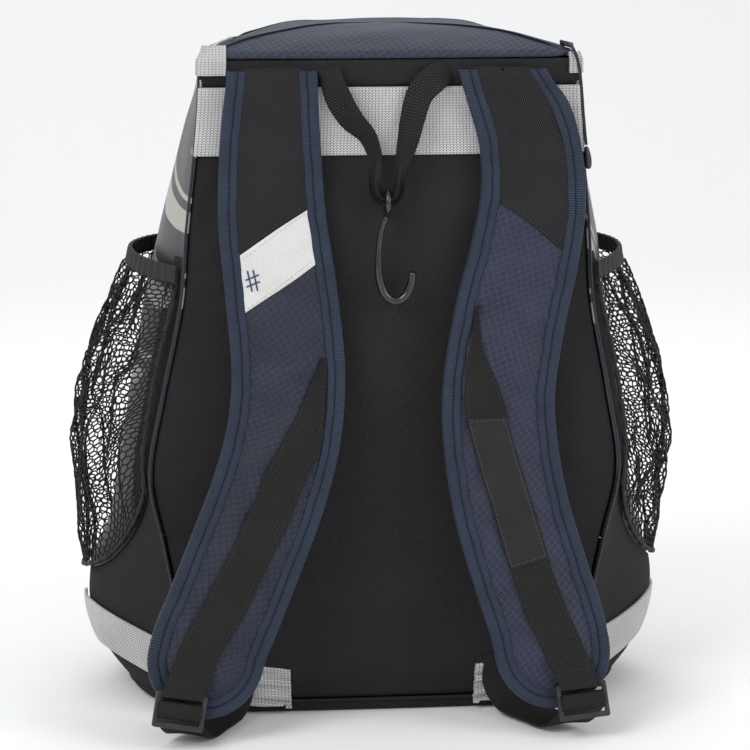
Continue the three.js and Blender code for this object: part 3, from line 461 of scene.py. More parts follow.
def read(rows, column, place):
    """One column of a table at a place along its first column, as a smooth curve through the rows."""
    table = np.array(rows, float)
    at, value = table[:, 0], table[:, column]
    last = len(at) - 1
    low = np.clip(np.arange(last + 1) - 1, 0, last)
    high = np.clip(np.arange(last + 1) + 1, 0, last)
    slope = (value[high] - value[low]) / (at[high] - at[low])
    place = np.asarray(place, float)
    k = np.clip(np.searchsorted(at, place, side="left") - 1, 0, last - 1)
    span = at[k + 1] - at[k]
    t = np.clip((place - at[k]) / span, 0, 1)
    return (
        (2 * t**3 - 3 * t**2 + 1) * value[k] + (t**3 - 2 * t**2 + t) * span * slope[k]
        + (3 * t**2 - 2 * t**3) * value[k + 1] + (t**3 - t**2) * span * slope[k + 1]
    )


def smooth(low, high, value):
    t = np.clip((np.asarray(value, float) - low) / (high - low), 0, 1)
    return t * t * (3 - 2 * t)


def outline(turn, height):
    turn, height = np.broadcast_arrays(np.mod(np.asarray(turn, float), 4), np.asarray(height, float))
    back, side, front = (
        read(BODY_ROWS, i, height) * w / 2 for i, w in ((1, BACK_WIDTH), (2, BODY_WIDTH), (3, FRONT_WIDTH))
    )
    depth = read(BODY_ROWS, 4, height) * BODY_DEPTH
    face = np.floor(turn).astype(int)
    t = turn - face
    lean = BODY_LEAN * height
    crown = 1 - (2 * t - 1) ** 2
    along = np.where(face == 1, t, 1 - t)
    out = back + (front - back) * along + (side - (back + front) / 2) * np.sin(math.pi * along)
    x = np.select(
        [face == 0, face == 2, face == 1],
        [back * (2 * t - 1) + lean, front * (1 - 2 * t) + lean, out + lean], lean - out,
    )
    y = np.select([face == 0, face == 2], [-BACK_CROWN * crown, depth + FRONT_CROWN * crown], depth * along)
    z = BASE_THICKNESS + CLEARANCE + height * BODY_HEIGHT
    return np.stack([x, y, z], axis=-1)


def outward(turn, height):
    height = np.asarray(height, float)
    along = outline(turn + 0.035, height) - outline(turn - 0.035, height)
    rise = outline(turn, np.clip(height + 0.01, 0, 1)) - outline(turn, np.clip(height - 0.01, 0, 1))
    return unit(np.cross(along, rise))


def body(turn, height, out):
    return outline(turn, height) + outward(turn, height) * np.asarray(out)[..., None]


def creases(a, b, seed, count=5, long=1.0, tall=1.0):
    """Soft folds in cloth, about -1 to 1, from a few crossing waves that a seed chooses."""
    draw = np.random.default_rng(seed)
    total = np.zeros_like(np.asarray(a, float))
    for _ in range(count):
        kx, ky = draw.uniform(-7, 7), draw.uniform(-7, 7)
        shift, bend = draw.uniform(0, 6.3), draw.uniform(1, 3)
        wave = np.sin(kx * long * a + ky * tall * b + shift + np.sin(bend * (a - b) * 3 + shift))
        total += np.sign(wave) * np.abs(wave) ** 1.6
    return total / count


def seam_fade(t, width):
    """0 at a panel's two seams and 1 past width from them."""
    return np.minimum(smooth(0, width, t), smooth(0, width, 1 - t))


def panel(name, start, end, low, high, thickness, across, along, folds=None, out=0.0, rounding=0.3):
    """A cloth panel of the body between two places round it and two heights."""
    def at(a, b):
        turn = start + (end - start) * a
        foot, head = low(a) if callable(low) else low, high(a) if callable(high) else high
        height = foot + (head - foot) * b
        stand = out + (folds(a, b) if folds else 0)
        return body(turn, height, np.broadcast_to(stand, a.shape))
    return laid(name, at, across, along, thickness, rounding)


# Base: a padded floor of black cloth with a rounded edge, sewn in all round and standing on the
# ground. Its underside is plain, since the photo doesn't show it
twill = Finish("black_twill", Roughness=0.9, Specular_IOR_Level=0.25)
TWILL_PITCH = 0.00105
diagonal = ((twill.u * 0.8 + twill.v * -0.6) / TWILL_PITCH + twill.noise(0.004, 1) * 0.25).wave()
thread = ((twill.u * 0.6 + twill.v * 0.8) / (TWILL_PITCH * 0.8)).wave()
twill_height = diagonal * 0.75 + thread * 0.25
worn = twill.noise(0.05, 4).ease(0.35, 0.75)
twill.give(
    Base_Color=twill.mix(
        twill.mix(tone("#0c0c0d"), tone("#151516"), worn), tone("#38383a"), twill_height.ease(0.35, 1.0)
    ),
)
twill.bump(twill_height, 0.00022)


def base_at(a, b):
    # Under face, rounded edge and top face, each ring drawn in from the body's foot
    rings = [
        (0, 1.0), (0, 0.5), (0, 0.06), (0.12, 0.025), (0.5, 0.006), (1, 0.0), (1, 0.06), (1, 0.5), (1, 1.0),
    ]
    at = np.linspace(0, 1, len(rings))
    rise = np.interp(b, at, [r[0] for r in rings]) * BASE_THICKNESS
    share = np.interp(b, at, [r[1] for r in rings])
    edge = body(a * 4, 0.0, np.full(a.shape, -1.0))
    middle = np.array([0, BODY_DEPTH * 0.46, 0])
    point = edge + (middle - edge) * share[:, None]
    point[:, 2] = rise
    return point


base, a, b = grid("base_floor", 88, 32)
place_points(base, metres(base_at(a, b)))
set_uv(base, metres(base_at(a, b))[:, 0], metres(base_at(a, b))[:, 1])
sealed(base, 1e-5)
done(base, twill, "black_twill", "base_panel")


# Back: a foam panel under black twill that swells a little between its seams, with the wearer's
# side slightly creased. The yoke strip of the same twill closes it at the top
EDGE = 0.0016
YOKE_FOOT = 1 - 16 / BODY_HEIGHT
BAND_FOOT = YOKE_FOOT - 42 / BODY_HEIGHT
SEAM = CLEARANCE / BODY_HEIGHT
BACK_PADDING = 9


def inflate(piece, held, pressure, limit, frames=20, shrink=-0.01, tension=15, bending=0.6):
    """Fill a closed piece with air where it isn't held, as foam under cloth swells between its seams."""
    rest = np.empty(len(piece.data.vertices) * 3)
    piece.data.vertices.foreach_get("co", rest)
    rest = rest.reshape(-1, 3)
    group = piece.vertex_groups.new(name="held")
    for weight in np.unique(np.round(held, 1)):
        if weight > 0:
            group.add(np.nonzero(np.round(held, 1) == weight)[0].tolist(), float(weight), "REPLACE")
    cloth = piece.modifiers.new("air", "CLOTH")
    cloth.settings.use_pressure = True
    cloth.settings.uniform_pressure_force = pressure
    cloth.settings.effector_weights.gravity = 0
    cloth.settings.vertex_group_mass = "held"
    cloth.settings.shrink_min = shrink
    cloth.settings.tension_stiffness = tension
    cloth.settings.compression_stiffness = tension
    cloth.settings.bending_stiffness = bending
    cloth.point_cache.frame_start = 1
    cloth.point_cache.frame_end = frames
    for number in range(1, frames + 1):
        scene.frame_set(number)
    only(piece)
    bpy.ops.object.modifier_apply(modifier="air")
    scene.frame_set(1)
    moved = np.empty(len(piece.data.vertices) * 3)
    piece.data.vertices.foreach_get("co", moved)
    step = moved.reshape(-1, 3) - rest
    far = np.linalg.norm(step, axis=1)
    keep = np.where(far > limit, limit / np.maximum(far, 1e-9), 1.0)
    place_points(piece, rest + step * keep[:, None])


BACK_COLUMNS, BACK_ROWS = 56, 76


def back_at(a, b):
    fold = creases(a, b, 4, 5, 1.0, 1.6) * smooth(0, 0.08, a) * smooth(0, 0.08, 1 - a) * smooth(0, 0.05, b)
    turn = EDGE + (1 - 2 * EDGE) * a
    height = (YOKE_FOOT - SEAM) * b
    edge = seam_fade(a, 0.035) * smooth(0, 0.03, b) * smooth(0, 0.02, 1 - b)
    return body(turn, height, fold * 0.8 * smooth(0, 0.14, 1 - b) + (edge - 1) * 1.6)


back = laid("back_pad", back_at, BACK_COLUMNS, BACK_ROWS, BACK_PADDING * 0.9, 0)
points = np.array([v.co for v in back.data.vertices]) * 1000
high = points[:, 2]
near = np.abs(points[:, 0]) / np.interp(high, [8, 150, 250, 395], [130, 145, 128, 114])
front_face = points[:, 1] < -80.6
held = np.where(front_face & (high > 22) & (high < 335) & (near < 0.94), 0.0, 1.0)
inflate(back, held, 3.5, 0.0035, shrink=-0.015)
run_modifier(back, "soft", "SUBSURF", levels=1, render_levels=1)
shaded(back)
done(back, twill, "black_twill", "back_panel")

yoke = panel("yoke_cloth", EDGE, 1 - EDGE, YOKE_FOOT, 1.0, BACK_PADDING, 90, 12,
             lambda a, b: 0.5 * creases(a, b, 9, 4, 3, 0.4) - 1.2 * (2 * b - 1) ** 4, rounding=0.12)
done(yoke, twill, "black_twill", "yoke_strip")

# Top band: wide silver webbing woven in chevrons, sewn over the top of the back panel, and round
# the head of the sides and front
chevron = Finish("silver_webbing", Roughness=0.55)
CHEVRON_WIDE, CHEVRON_TALL = 0.0021, 0.0016
slant = ((chevron.u / CHEVRON_WIDE).fract() - 0.5).math("ABSOLUTE")
rung = (chevron.v / CHEVRON_TALL + slant * 1.7).wave()
valley = slant.ease(0.36, 0.48)
ridge = rung.ease(0.1, 0.6) * (1 - valley * 0.9)
grey = chevron.noise(0.03, 3).ease(0.3, 0.7)
chevron.give(Base_Color=chevron.mix(
    tone("#77777a"), chevron.mix(tone("#cfcfce"), tone("#e4e4e2"), grey), ridge,
))
chevron.bump(ridge, 0.0003)
band = panel("back_band_webbing", EDGE, 1 - EDGE, BAND_FOOT, YOKE_FOOT - SEAM, 1.6, 120, 20,
             lambda a, b: 0.45 * creases(a, b, 12, 4, 2.2, 0.5), out=CLEARANCE + 1.6)
done(band, chevron, "silver_webbing", "back_band")


# Sides: a coated charcoal panel above, a black gusset below, and a silver band along the top,
# joined by piped seams. The pale slanted bars printed on the charcoal are a plain design
FOOT_ROWS = [(0.0, 0.35), (0.15, 0.27), (0.3, 0.2), (0.5, 0.172), (1.0, 0.168)]
TOP_BAND_FOOT = 1 - 18 / BODY_HEIGHT
coated = Finish("charcoal_coated_cloth", Roughness=0.42, Coat_Weight=0.25, Coat_Roughness=0.35)
grain = coated.noise(0.0011, 2)
shade = coated.noise(0.06, 3).ease(0.3, 0.7)
bars = ((coated.v + coated.u * 0.55) / 0.062).fract()
broad = bars.ease(0.06, 0.075) * (1 - bars.ease(0.34, 0.355))
thin = bars.ease(0.46, 0.475) * (1 - bars.ease(0.53, 0.545))
printed = (broad + thin) * coated.v.ease(0.12, 0.13) * (1 - coated.v.ease(0.272, 0.282))
coated.give(
    Base_Color=coated.mix(
        coated.mix(tone("#1b1c1e"), tone("#2a2b2d"), shade), tone("#a3a39b"), printed * 0.92
    ),
    Roughness=0.36 + grain * 0.2,
)
coated.bump(grain * 0.6 + coated.noise(0.012, 2) * 0.4, 0.0004, 0.6)

for side, sign in (("left", -1), ("right", 1)):
    near_edge, far_edge = (1 + EDGE, 2 - EDGE) if sign > 0 else (4 - EDGE, 3 + EDGE)
    turned = sign < 0

    def strip(name, low, high, across, along, folds, thickness=2.0):
        def at(a, b):
            share = a if not turned else 1 - a
            turn = near_edge + (far_edge - near_edge) * share
            foot = low(share) if callable(low) else low
            head = high(share) if callable(high) else high
            return body(turn, foot + (head - foot) * b, folds(share, b))
        return laid(name, at, across, along, thickness)

    def foot_line(t):
        return read(FOOT_ROWS, 1, t)

    def lower_folds(t, b):
        fade = seam_fade(t, 0.1) * smooth(0, 0.2, b)
        return creases(t, b, 21 + sign, 6, 1.4, 1.2) * 2.2 * fade

    def upper_folds(t, b):
        fade = seam_fade(t, 0.12) * smooth(0, 0.1, b) * smooth(0, 0.08, 1 - b)
        return creases(t, b, 31 + sign, 6, 0.8, 1.7) * 2.4 * fade

    gusset = strip(f"gusset_cloth_{side}", 0.0, lambda t: foot_line(t) - SEAM, 60, 40, lower_folds)
    done(gusset, twill, "black_twill", f"lower_gusset_{side}")
    upper = strip(f"side_cloth_{side}", foot_line, TOP_BAND_FOOT - SEAM, 60, 84, upper_folds)
    done(upper, coated, "charcoal_cloth", f"side_panel_{side}")
    top = strip(f"top_webbing_{side}", TOP_BAND_FOOT, 1.0, 60, 8,
                lambda t, b: 0.5 * creases(t, b, 41 + sign, 4, 2.0, 0.3) * smooth(0, 0.1, t))
    done(top, chevron, "silver_webbing", f"top_band_{side}")

    # Twill strip up the side's back edge, under the pocket's seam
    def backing_at(a, b):
        share = 0.003 + 0.15 * (a if not turned else 1 - a)
        turn = near_edge + (far_edge - near_edge) * share
        foot = foot_line(share) - 0.004
        stand = 0.75 + 0.3 * creases(share * 4, b, 45 + sign, 4, 1, 2)
        return body(turn, foot + (0.70 - foot) * b, stand)

    backing = laid(f"pocket_backing_{side}", backing_at, 16, 90, 0.6, 0.3)
    done(backing, twill, "black_twill")


# Front: one plain twill panel, slack between its seams, and the silver band above it
def front_folds(a, b):
    fade = seam_fade(a, 0.08) * smooth(0, 0.06, b) * smooth(0, 0.05, 1 - b)
    return (creases(a, b, 51, 7, 1.0, 1.3) * 2.4 - 0.6) * fade


front = panel("front_cloth", 2 + EDGE, 3 - EDGE, 0.0, TOP_BAND_FOOT - SEAM, 2.0, 84, 120, front_folds)
done(front, twill, "black_twill", "front_panel")
front_top = panel("top_webbing_front", 2 + EDGE, 3 - EDGE, TOP_BAND_FOOT, 1.0, 2.0, 84, 8,
                  lambda a, b: 0.4 * creases(a, b, 55, 4, 2.0, 0.3))
done(front_top, chevron, "silver_webbing", "top_band_front")

# Piping: a thin cord under navy tape, sewn into each upright seam, and a black twill welt round the foot
piping = Finish("navy_piping", Roughness=0.7, Sheen_Weight=0.2)
wrap = (piping.v / 0.0011).wave()
piping.colour("#080b14", "#141d35", wrap * 0.6 + piping.noise(0.01) * 0.4)
piping.bump(wrap, 0.00012)
for number, corner in enumerate((0, 1, 2, 3)):
    heights = np.linspace(0.004, 0.994, 40)
    seam = Line(body(np.full(40, float(corner)), heights, np.full(40, 0.5)))
    welt = tube(f"piping_{number}", seam, 0.8, 8, 160)
    done(welt, piping, "navy_binding")
foot_turn = np.linspace(0, 4, 97)
foot_loop = body(foot_turn, 0.0, np.full(97, 0.3))
foot_loop[:, 2] = BASE_THICKNESS + 0.4
foot_welt = tube("piping_foot", Line(foot_loop, 1200), 1.1, 8, 360)
done(foot_welt, twill, "black_twill")


# Lid: a domed panel of navy ripstop, sewn to the yoke at the back and to the zip elsewhere, full
# and a little crumpled, since no foam backs it
ZIP_WIDTH = 14
ZIP_RISE = 3.5
ZIP_TAPE = 1.2
LID_THICKNESS = 2.6
LID_RISE = 16
LID_FULLNESS = 3.2
LID_LEVEL = BODY_TOP + CLEARANCE + LID_THICKNESS
ROUND_STEPS = 11


def ripstop(name, ground, line):
    """Thin coated cloth with fine crossing lines that make diamonds."""
    cloth = Finish(name, Roughness=0.6)
    wobble = cloth.noise(0.02, 2) * 0.12
    rise = ((cloth.u * -0.545 + cloth.v * 0.839) / 0.0036 + wobble).fract()
    steep = ((cloth.u * 0.91 + cloth.v * 0.41) / 0.0040 + wobble).fract()
    first = 1 - (rise - 0.5).math("ABSOLUTE").ease(0.03, 0.1)
    second = 1 - (steep - 0.5).math("ABSOLUTE").ease(0.025, 0.085)
    lines = first.most(second)
    weave = (cloth.u / 0.0005).wave() * (cloth.v / 0.0005).wave()
    patch = cloth.noise(0.03, 4).ease(0.3, 0.75)
    cloth.give(
        Base_Color=cloth.mix(
            cloth.mix(tone(ground[0]), tone(ground[1]), patch), tone(line), lines * 0.75
        ),
        Roughness=0.62 - lines * 0.12,
    )
    cloth.bump(lines * 0.7 + weave * 0.2 + cloth.noise(0.009, 2) * 0.9, 0.0004, 0.8)
    return cloth


# One ripstop cloth in three copies that differ by painted light: the right strap's lines are painted pale as
# lit, the left strap's lines are painted near black as shaded, and the lid's copy is painted a little darker
# against the light from above
ripstop_lines_painted_lit = ripstop("navy_ripstop_painted_lit_lines", ("#0b1124", "#121931"), "#33395a")
ripstop_lines_painted_shaded = ripstop("navy_ripstop_painted_shaded_lines", ("#0c1427", "#121c35"), "#010206")
ripstop_lid = ripstop("navy_ripstop_lid", ("#0b1223", "#121b32"), "#262f50")


def rim(turn, inset, lift):
    out = outward(turn, np.full(np.shape(turn), 1.0))
    out[..., 2] = 0
    point = outline(turn, np.full(np.shape(turn), 1.0)) - unit(out) * np.asarray(inset)[..., None]
    point[..., 2] = LID_LEVEL + ZIP_RISE * np.asarray(inset) / ZIP_WIDTH + lift
    return point


def lid_point(turn, share, drop):
    turn = np.mod(turn, 4)
    from_left = np.where(turn > 2, turn - 4, turn)
    zipped = smooth(0.42, 0.58, np.abs(from_left - 0.5))
    inset = zipped * (ZIP_WIDTH + 3 * CLEARANCE)
    edge = rim(turn, inset, 0)
    middle = np.array([BODY_LEAN, 0.71 * BODY_DEPTH / 2, LID_LEVEL])
    point = edge + (middle - edge) * share[..., None]
    dome = 1 - (1 - share) ** LID_FULLNESS
    point[..., 2] = edge[..., 2] * (1 - share) + LID_LEVEL * share + LID_RISE * dome - drop
    return point


def lid_at(a, b):
    # Rings from the middle of the underside out to the edge and back to the middle of the top
    rings = [
        (1.0, 1), (0.7, 1), (0.35, 1), (0.05, 1), (0.0, 0.75), (0.0, 0.25), (0.05, 0), (0.12, 0), (0.35, 0),
        (0.7, 0), (1.0, 0),
    ]
    at = np.linspace(0, 1, len(rings))
    share = np.interp(b, at, [r[0] for r in rings])
    drop = np.interp(b, at, [r[1] for r in rings]) * LID_THICKNESS
    point = lid_point(a * 4, share, drop)
    ruffle = creases(point[:, 0] / 90, point[:, 1] / 60, 63, 7, 1.0, 1.0) * 1.5
    point[:, 2] += (ruffle - 0.5) * smooth(0.0, 0.2, share) * (drop < LID_THICKNESS * 0.9)
    return point


lid, a, b = grid("lid_cloth", 132, 60)
lid_points = metres(lid_at(a, b))
place_points(lid, lid_points)
set_uv(lid, lid_points[:, 0], lid_points[:, 1])
sealed(lid, 1e-5)
done(lid, ripstop_lid, "navy_ripstop", "top_panel")


# Corner tabs: short ends of silver webbing folded over the two ends of the zip
TAB_TURNS = {"left": (0.07, -0.02, 18), "right": (0.97, 1.03, 13)}
for side, (near, far, tall) in TAB_TURNS.items():
    def tab_at(a, b, near=near, far=far, tall=tall):
        turn = near + (far - near) * a
        rise = -9 + tall * b
        point = body(turn, np.minimum(1 + rise / BODY_HEIGHT, 1.0), np.full(a.shape, 2.6))
        over = np.maximum(rise, 0)
        inward = outward(turn, np.full(a.shape, 1.0)) * (over * 0.6 + 0.4 * np.sin(a * 9))[..., None]
        inward[..., 2] = 0
        point[..., 2] += over
        return point - inward

    tab = laid(f"corner_tab_{side}", tab_at, 24, 24, 1.4, 0.3, flip=side == "left")
    done(tab, chevron, "silver_webbing")


# Zip: a woven tape between the lid and the bag with a raised coil of ribs along it, a metal slider
# at the right end and a moulded grip on the slider's cord
ZIP_START = 1 + 1 / ROUND_STEPS
ZIP_END_SHARE = 0.5
ZIP_TURNS = 3 * ROUND_STEPS - 2
COIL_PITCH = 1.7
tape_cloth = Finish("black_zip_tape", Roughness=0.7)
rib = (tape_cloth.v / 0.0009).wave()
tape_cloth.colour("#0c0c0d", "#2a2a2d", rib)
tape_cloth.bump(rib, 0.00012)
teeth = Finish("zip_coil_plastic", Roughness=0.35)
teeth.colour("#8c8d90", "#c9cacc", teeth.noise(0.004))
teeth.bump(teeth.noise(0.0006, 2), 0.00005)


def zip_at(inset, lift, k):
    narrow = ZIP_END_SHARE + (1 - ZIP_END_SHARE) * smooth(0, 1 / ZIP_TURNS, np.minimum(k, 1 - k))
    turn = ZIP_START + (5 - 2 * ZIP_START) * k
    return rim(turn, inset * narrow, lift)


TAPE_SECTION = [
    (0, 0), (4, 0.05), (5.2, 0.35), (8.8, 0.35), (10, 0.05), (14, 0),
    (14, -ZIP_TAPE), (7, -ZIP_TAPE), (0, -ZIP_TAPE),
]
zip_tape = swept("zip_tape_cloth", TAPE_SECTION, 300, zip_at, smooth_angle=40)
done(zip_tape, tape_cloth, "zip_tape", "zip_tape")
zip_length = np.linalg.norm(
    np.diff(zip_at(np.full(400, 7.0), np.zeros(400), np.linspace(0, 1, 400)), axis=0), axis=1
).sum()
coil_count = int(zip_length / COIL_PITCH)


def coil_at(q, n, k):
    swell = 0.72 + 0.28 * np.cos(k * coil_count * 2 * math.pi)
    return zip_at(7 + q * 1.9 * (0.8 + 0.2 * swell), 0.5 + n * 0.85 * swell, k)


coil = swept("zip_coil", [(-1, -0.4), (-0.8, 0.5), (-0.15, 0.95), (0.15, 0.95), (0.8, 0.5), (1, -0.4)],
             coil_count * 4, coil_at)
done(coil, teeth, "zip_tape")

satin = Finish("black_moulded_plastic", Roughness=0.38, Specular_IOR_Level=0.5)
scuff = satin.noise(0.008, 4).ease(0.45, 0.8)
satin.give(
    Base_Color=satin.mix(tone("#1d1d20"), tone("#2b2b2f"), scuff),
    Roughness=0.3 + scuff * 0.16 + satin.noise(0.0006, 2) * 0.1,
)
satin.bump(satin.noise(0.0007, 2), 0.00004)


def copied(name, node):
    """A piece that starts as a merged copy of a solid, with its flat faces made whole again."""
    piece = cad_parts[node].copy()
    piece.data = piece.data.copy()
    piece.name = piece.data.name = name
    scene.collection.objects.link(piece)
    piece.parent = None
    piece.hide_render = piece.hide_viewport = False
    for key in list(piece.keys()):
        del piece[key]
    only(piece)
    bpy.ops.object.mode_set(mode="EDIT")
    bpy.ops.mesh.select_all(action="SELECT")
    bpy.ops.mesh.remove_doubles(threshold=1e-6)
    bpy.ops.mesh.dissolve_limited(angle_limit=math.radians(2))
    bpy.ops.mesh.select_all(action="SELECT")
    bpy.ops.mesh.normals_make_consistent(inside=False)
    bpy.ops.object.mode_set(mode="OBJECT")
    return piece


slider = copied("zip_slider_body", "zip_slider")
run_modifier(
    slider, "edge", "BEVEL", width=0.0007, segments=3, limit_method="ANGLE", angle_limit=math.radians(35),
)
only(slider)
bpy.ops.object.shade_smooth_by_angle(angle=math.radians(40))
metal = Finish("dark_slider_metal", Metallic=0.85, Roughness=0.32)
metal.colour("#3a3a3e", "#5a5a5f", metal.noise(0.003))
metal.bump(metal.noise(0.0008, 2), 0.00004)
done(slider, metal, "black_plastic", "zip_slider")

grip = copied("zip_pull_grip", "zip_pull")
run_modifier(grip, "soft", "SUBSURF", levels=2, render_levels=2)
shaded(grip)
done(grip, satin, "black_plastic", "zip_pull")
[tuple(point) for point in metres(cord_line.point(np.linspace(0, 1, 61)))]


# Shoulder straps: foam under navy ripstop, bound all round with grosgrain tape. Their upper part
# is faced with black twill, and the left one has a white patch for a number
STRAP_BELOW_TOP = 5.9
STRAP_FOOT = 18
STRAP_WIDTH = 71
STRAP_STAND = 62
STRAP_SWEEP = 1.7
STRAP_PADDING = 10
STRAP_EDGE = 4.4
BINDING_WIDTH = 11.5
BINDING_CLOTH = 1.2
WEBBING_WIDTH = 25
WEBBING = 1.6
STRAP_ROWS = {
    "left": [
        (0.0, -0.235), (0.107, -0.24), (0.23, -0.238), (0.352, -0.221), (0.477, -0.209), (0.569, -0.221),
        (0.66, -0.255), (0.75, -0.303), (0.84, -0.354), (0.9, -0.388), (1.0, -0.412),
    ],
    "right": [
        (0.0, 0.243), (0.1, 0.296), (0.2, 0.308), (0.295, 0.288), (0.39, 0.257), (0.515, 0.23),
        (0.61, 0.235), (0.7, 0.255), (0.795, 0.29), (0.885, 0.325), (1.0, 0.343),
    ],
}
WIDTH_ROWS = [(0.0, 0.77), (0.1, 0.86), (0.22, 0.93), (0.35, 0.97), (0.5, 0.985), (0.7, 1.0), (1.0, 1.0)]
WEBBING_ROWS = {
    "left": [
        (0.425, 0.5), (0.51, 0.275), (0.6, 0.1), (0.68, 0.06), (0.76, 0.017), (0.84, -0.02), (0.91, -0.085),
        (0.974, -0.17),
    ],
    "right": [
        (0.37, -0.5), (0.44, -0.39), (0.51, -0.16), (0.57, -0.09), (0.68, 0.0), (0.85, 0.015), (0.91, 0.08),
        (0.974, 0.19),
    ],
}
FACING_SEAM = {"left": (0.274, 0.209), "right": (0.215, 0.28)}
PATCH_SHARE = 0.088
BUCKLE_THICKNESS = 4.6

strap_seat = BACK_CROWN + 1.6 + 3 * CLEARANCE + STRAP_EDGE / 2 + BINDING_CLOTH
strap_top = BODY_TOP - STRAP_BELOW_TOP
strap_lines = {}
for side, rows in STRAP_ROWS.items():
    strap_lines[side] = Line([
        (aside * BACK_WIDTH, -strap_seat - STRAP_STAND * drop**STRAP_SWEEP,
         strap_top + (STRAP_FOOT - strap_top) * drop)
        for drop, aside in rows
    ], 1600)


def strap_point(side, along, offset, lift):
    """A point from its share along a strap, its offset across it and its height off the middle plane."""
    line = strap_lines[side]
    along = np.asarray(along, float)
    place = np.clip(along, 0, 1)
    tangent = line.tangent(place)
    level = (1 - smooth(0, 0.12, along))[..., None]
    across = unit(np.cross(np.array([0.0, -1, 0]), tangent))
    across = unit(across + (np.array([1.0, 0, 0]) - across) * level)
    face = unit(np.cross(tangent, across))
    return (
        line.point(place) + tangent * ((along - place) * line.length)[..., None]
        + across * np.asarray(offset)[..., None] + face * np.asarray(lift)[..., None]
    )


def half_width(along):
    return read(WIDTH_ROWS, 1, along) * STRAP_WIDTH / 2


def round_start(side):
    return 1 - STRAP_WIDTH / 2 / strap_lines[side].length


def margin(side, along, offset):
    """Distance in from the strap's outline."""
    start = round_start(side)
    past = np.maximum(along - start, 0) * strap_lines[side].length
    beside, round_foot = half_width(along) - np.abs(offset), STRAP_WIDTH / 2 - np.hypot(offset, past)
    return np.where(along <= start, beside, round_foot)


PAD_ACROSS = 16
PAD_ALONG = 78
PAD_ROUND = 9
pad_inset = BINDING_CLOTH + 3 * CLEARANCE


def pad_ring(side, share, column, up):
    """Where a point of the pad's ring lies: along, offset and rest height."""
    start = round_start(side)
    end = 1 - pad_inset / strap_lines[side].length
    straight = PAD_ALONG / (PAD_ALONG + PAD_ROUND)
    angle = np.clip((share - straight) / (1 - straight), 0, 1) * math.pi * 0.46
    along = np.where(share <= straight, start * share / straight, start + (end - start) * np.sin(angle))
    wide = (half_width(along) - pad_inset) * np.cos(angle)
    offset = wide * column
    depth = smooth(BINDING_WIDTH - 2, BINDING_WIDTH + 9, margin(side, along, offset))
    dent = 0.9 * creases(offset / 26, along * 9, 14 if side == "left" else 15, 5) * depth
    height = STRAP_EDGE + (STRAP_PADDING * 0.8 - STRAP_EDGE) * depth + dent
    return along, offset, height / 2 * up


pad_section = [(x, -1) for x in np.linspace(-1, 1, PAD_ACROSS + 1)]
pad_section += [(x, 1) for x in np.linspace(1, -1, PAD_ACROSS + 1)]
pad_trees = {}
for side in ("left", "right"):
    def pad_at(q, n, k):
        return strap_point(side, *pad_ring(side, k, q, n))

    pad = swept(f"pad_{side}", pad_section, PAD_ALONG + PAD_ROUND, pad_at)
    # The map follows the strap, so that the weave runs along it
    loops = np.empty(len(pad.data.loops), int)
    pad.data.loops.foreach_get("vertex_index", loops)
    cloth_map = np.empty(len(loops) * 2)
    pad.data.uv_layers[0].data.foreach_get("uv", cloth_map)
    cloth_map = cloth_map.reshape(-1, 2)
    points = np.array([v.co for v in pad.data.vertices]) * 1000 + [0, BACK_SEAT, 0]
    line = strap_lines[side]
    shares = np.linspace(0, 1, 500)
    stations = line.point(shares)
    nearest = np.array([shares[np.argmin(((stations - p) ** 2).sum(axis=1))] for p in points])
    base_points = strap_point(side, nearest, np.zeros(len(points)), np.zeros(len(points)))
    sideways = unit(strap_point(side, nearest, np.ones(len(points)), np.zeros(len(points))) - base_points)
    offset = ((points - base_points) * sideways).sum(axis=1)
    cloth_map[:, 0] = offset[loops] / 1000
    cloth_map[:, 1] = -nearest[loops] * line.length / 1000
    pad.data.uv_layers[0].data.foreach_set("uv", cloth_map.ravel())
    room = margin(side, nearest, offset)
    held = 1 - smooth(BINDING_WIDTH - 3, BINDING_WIDTH + 1, room)
    held = np.maximum(held, 1 - smooth(0.01, 0.03, nearest))
    inflate(pad, held, 4.0, 0.0035, shrink=-0.02, tension=12, bending=0.4)
    run_modifier(pad, "soft", "SUBSURF", levels=1, render_levels=1)
    shaded(pad)
    # The right pad takes the copy with painted lit lines, the left pad the copy with painted shaded lines
    done(pad, ripstop_lines_painted_lit if side == "right" else ripstop_lines_painted_shaded, "navy_ripstop", f"strap_pad_{side}")
    pad_trees[side] = BVHTree.FromPolygons(
        [v.co.copy() for v in pad.data.vertices], [tuple(p.vertices) for p in pad.data.polygons]
    )


def on_pad(side, along, offset, fallback=STRAP_EDGE / 2):
    """Height of the pad's face above the strap's middle plane, in millimetres."""
    along, offset = np.broadcast_arrays(np.asarray(along, float), np.asarray(offset, float))
    high = metres(strap_point(side, along, offset, np.full(along.shape, 20.0)))
    low = metres(strap_point(side, along, offset, np.zeros(along.shape)))
    found = []
    for top, bottom in zip(high.reshape(-1, 3), low.reshape(-1, 3)):
        way = Vector(bottom - top).normalized()
        hit = pad_trees[side].ray_cast(Vector(top), way, 0.02)
        found.append(fallback if hit[0] is None else 20 - hit[3] * 1000)
    return np.array(found).reshape(along.shape)


# Binding: grosgrain tape folded over the strap's edge and stitched through, so that a groove runs
# along it, with ribs across its width
grosgrain = Finish("navy_grosgrain", Roughness=0.8, Sheen_Weight=0.03)
ribs = (grosgrain.v / 0.0012).wave()
shade = grosgrain.noise(0.02, 3).ease(0.3, 0.7)
grosgrain.give(Base_Color=grosgrain.mix(
    tone("#0a101c"), grosgrain.mix(tone("#1c2a41"), tone("#25364f"), shade), ribs,
))
grosgrain.bump(ribs + grosgrain.noise(0.0015, 2) * 0.4, 0.00025)


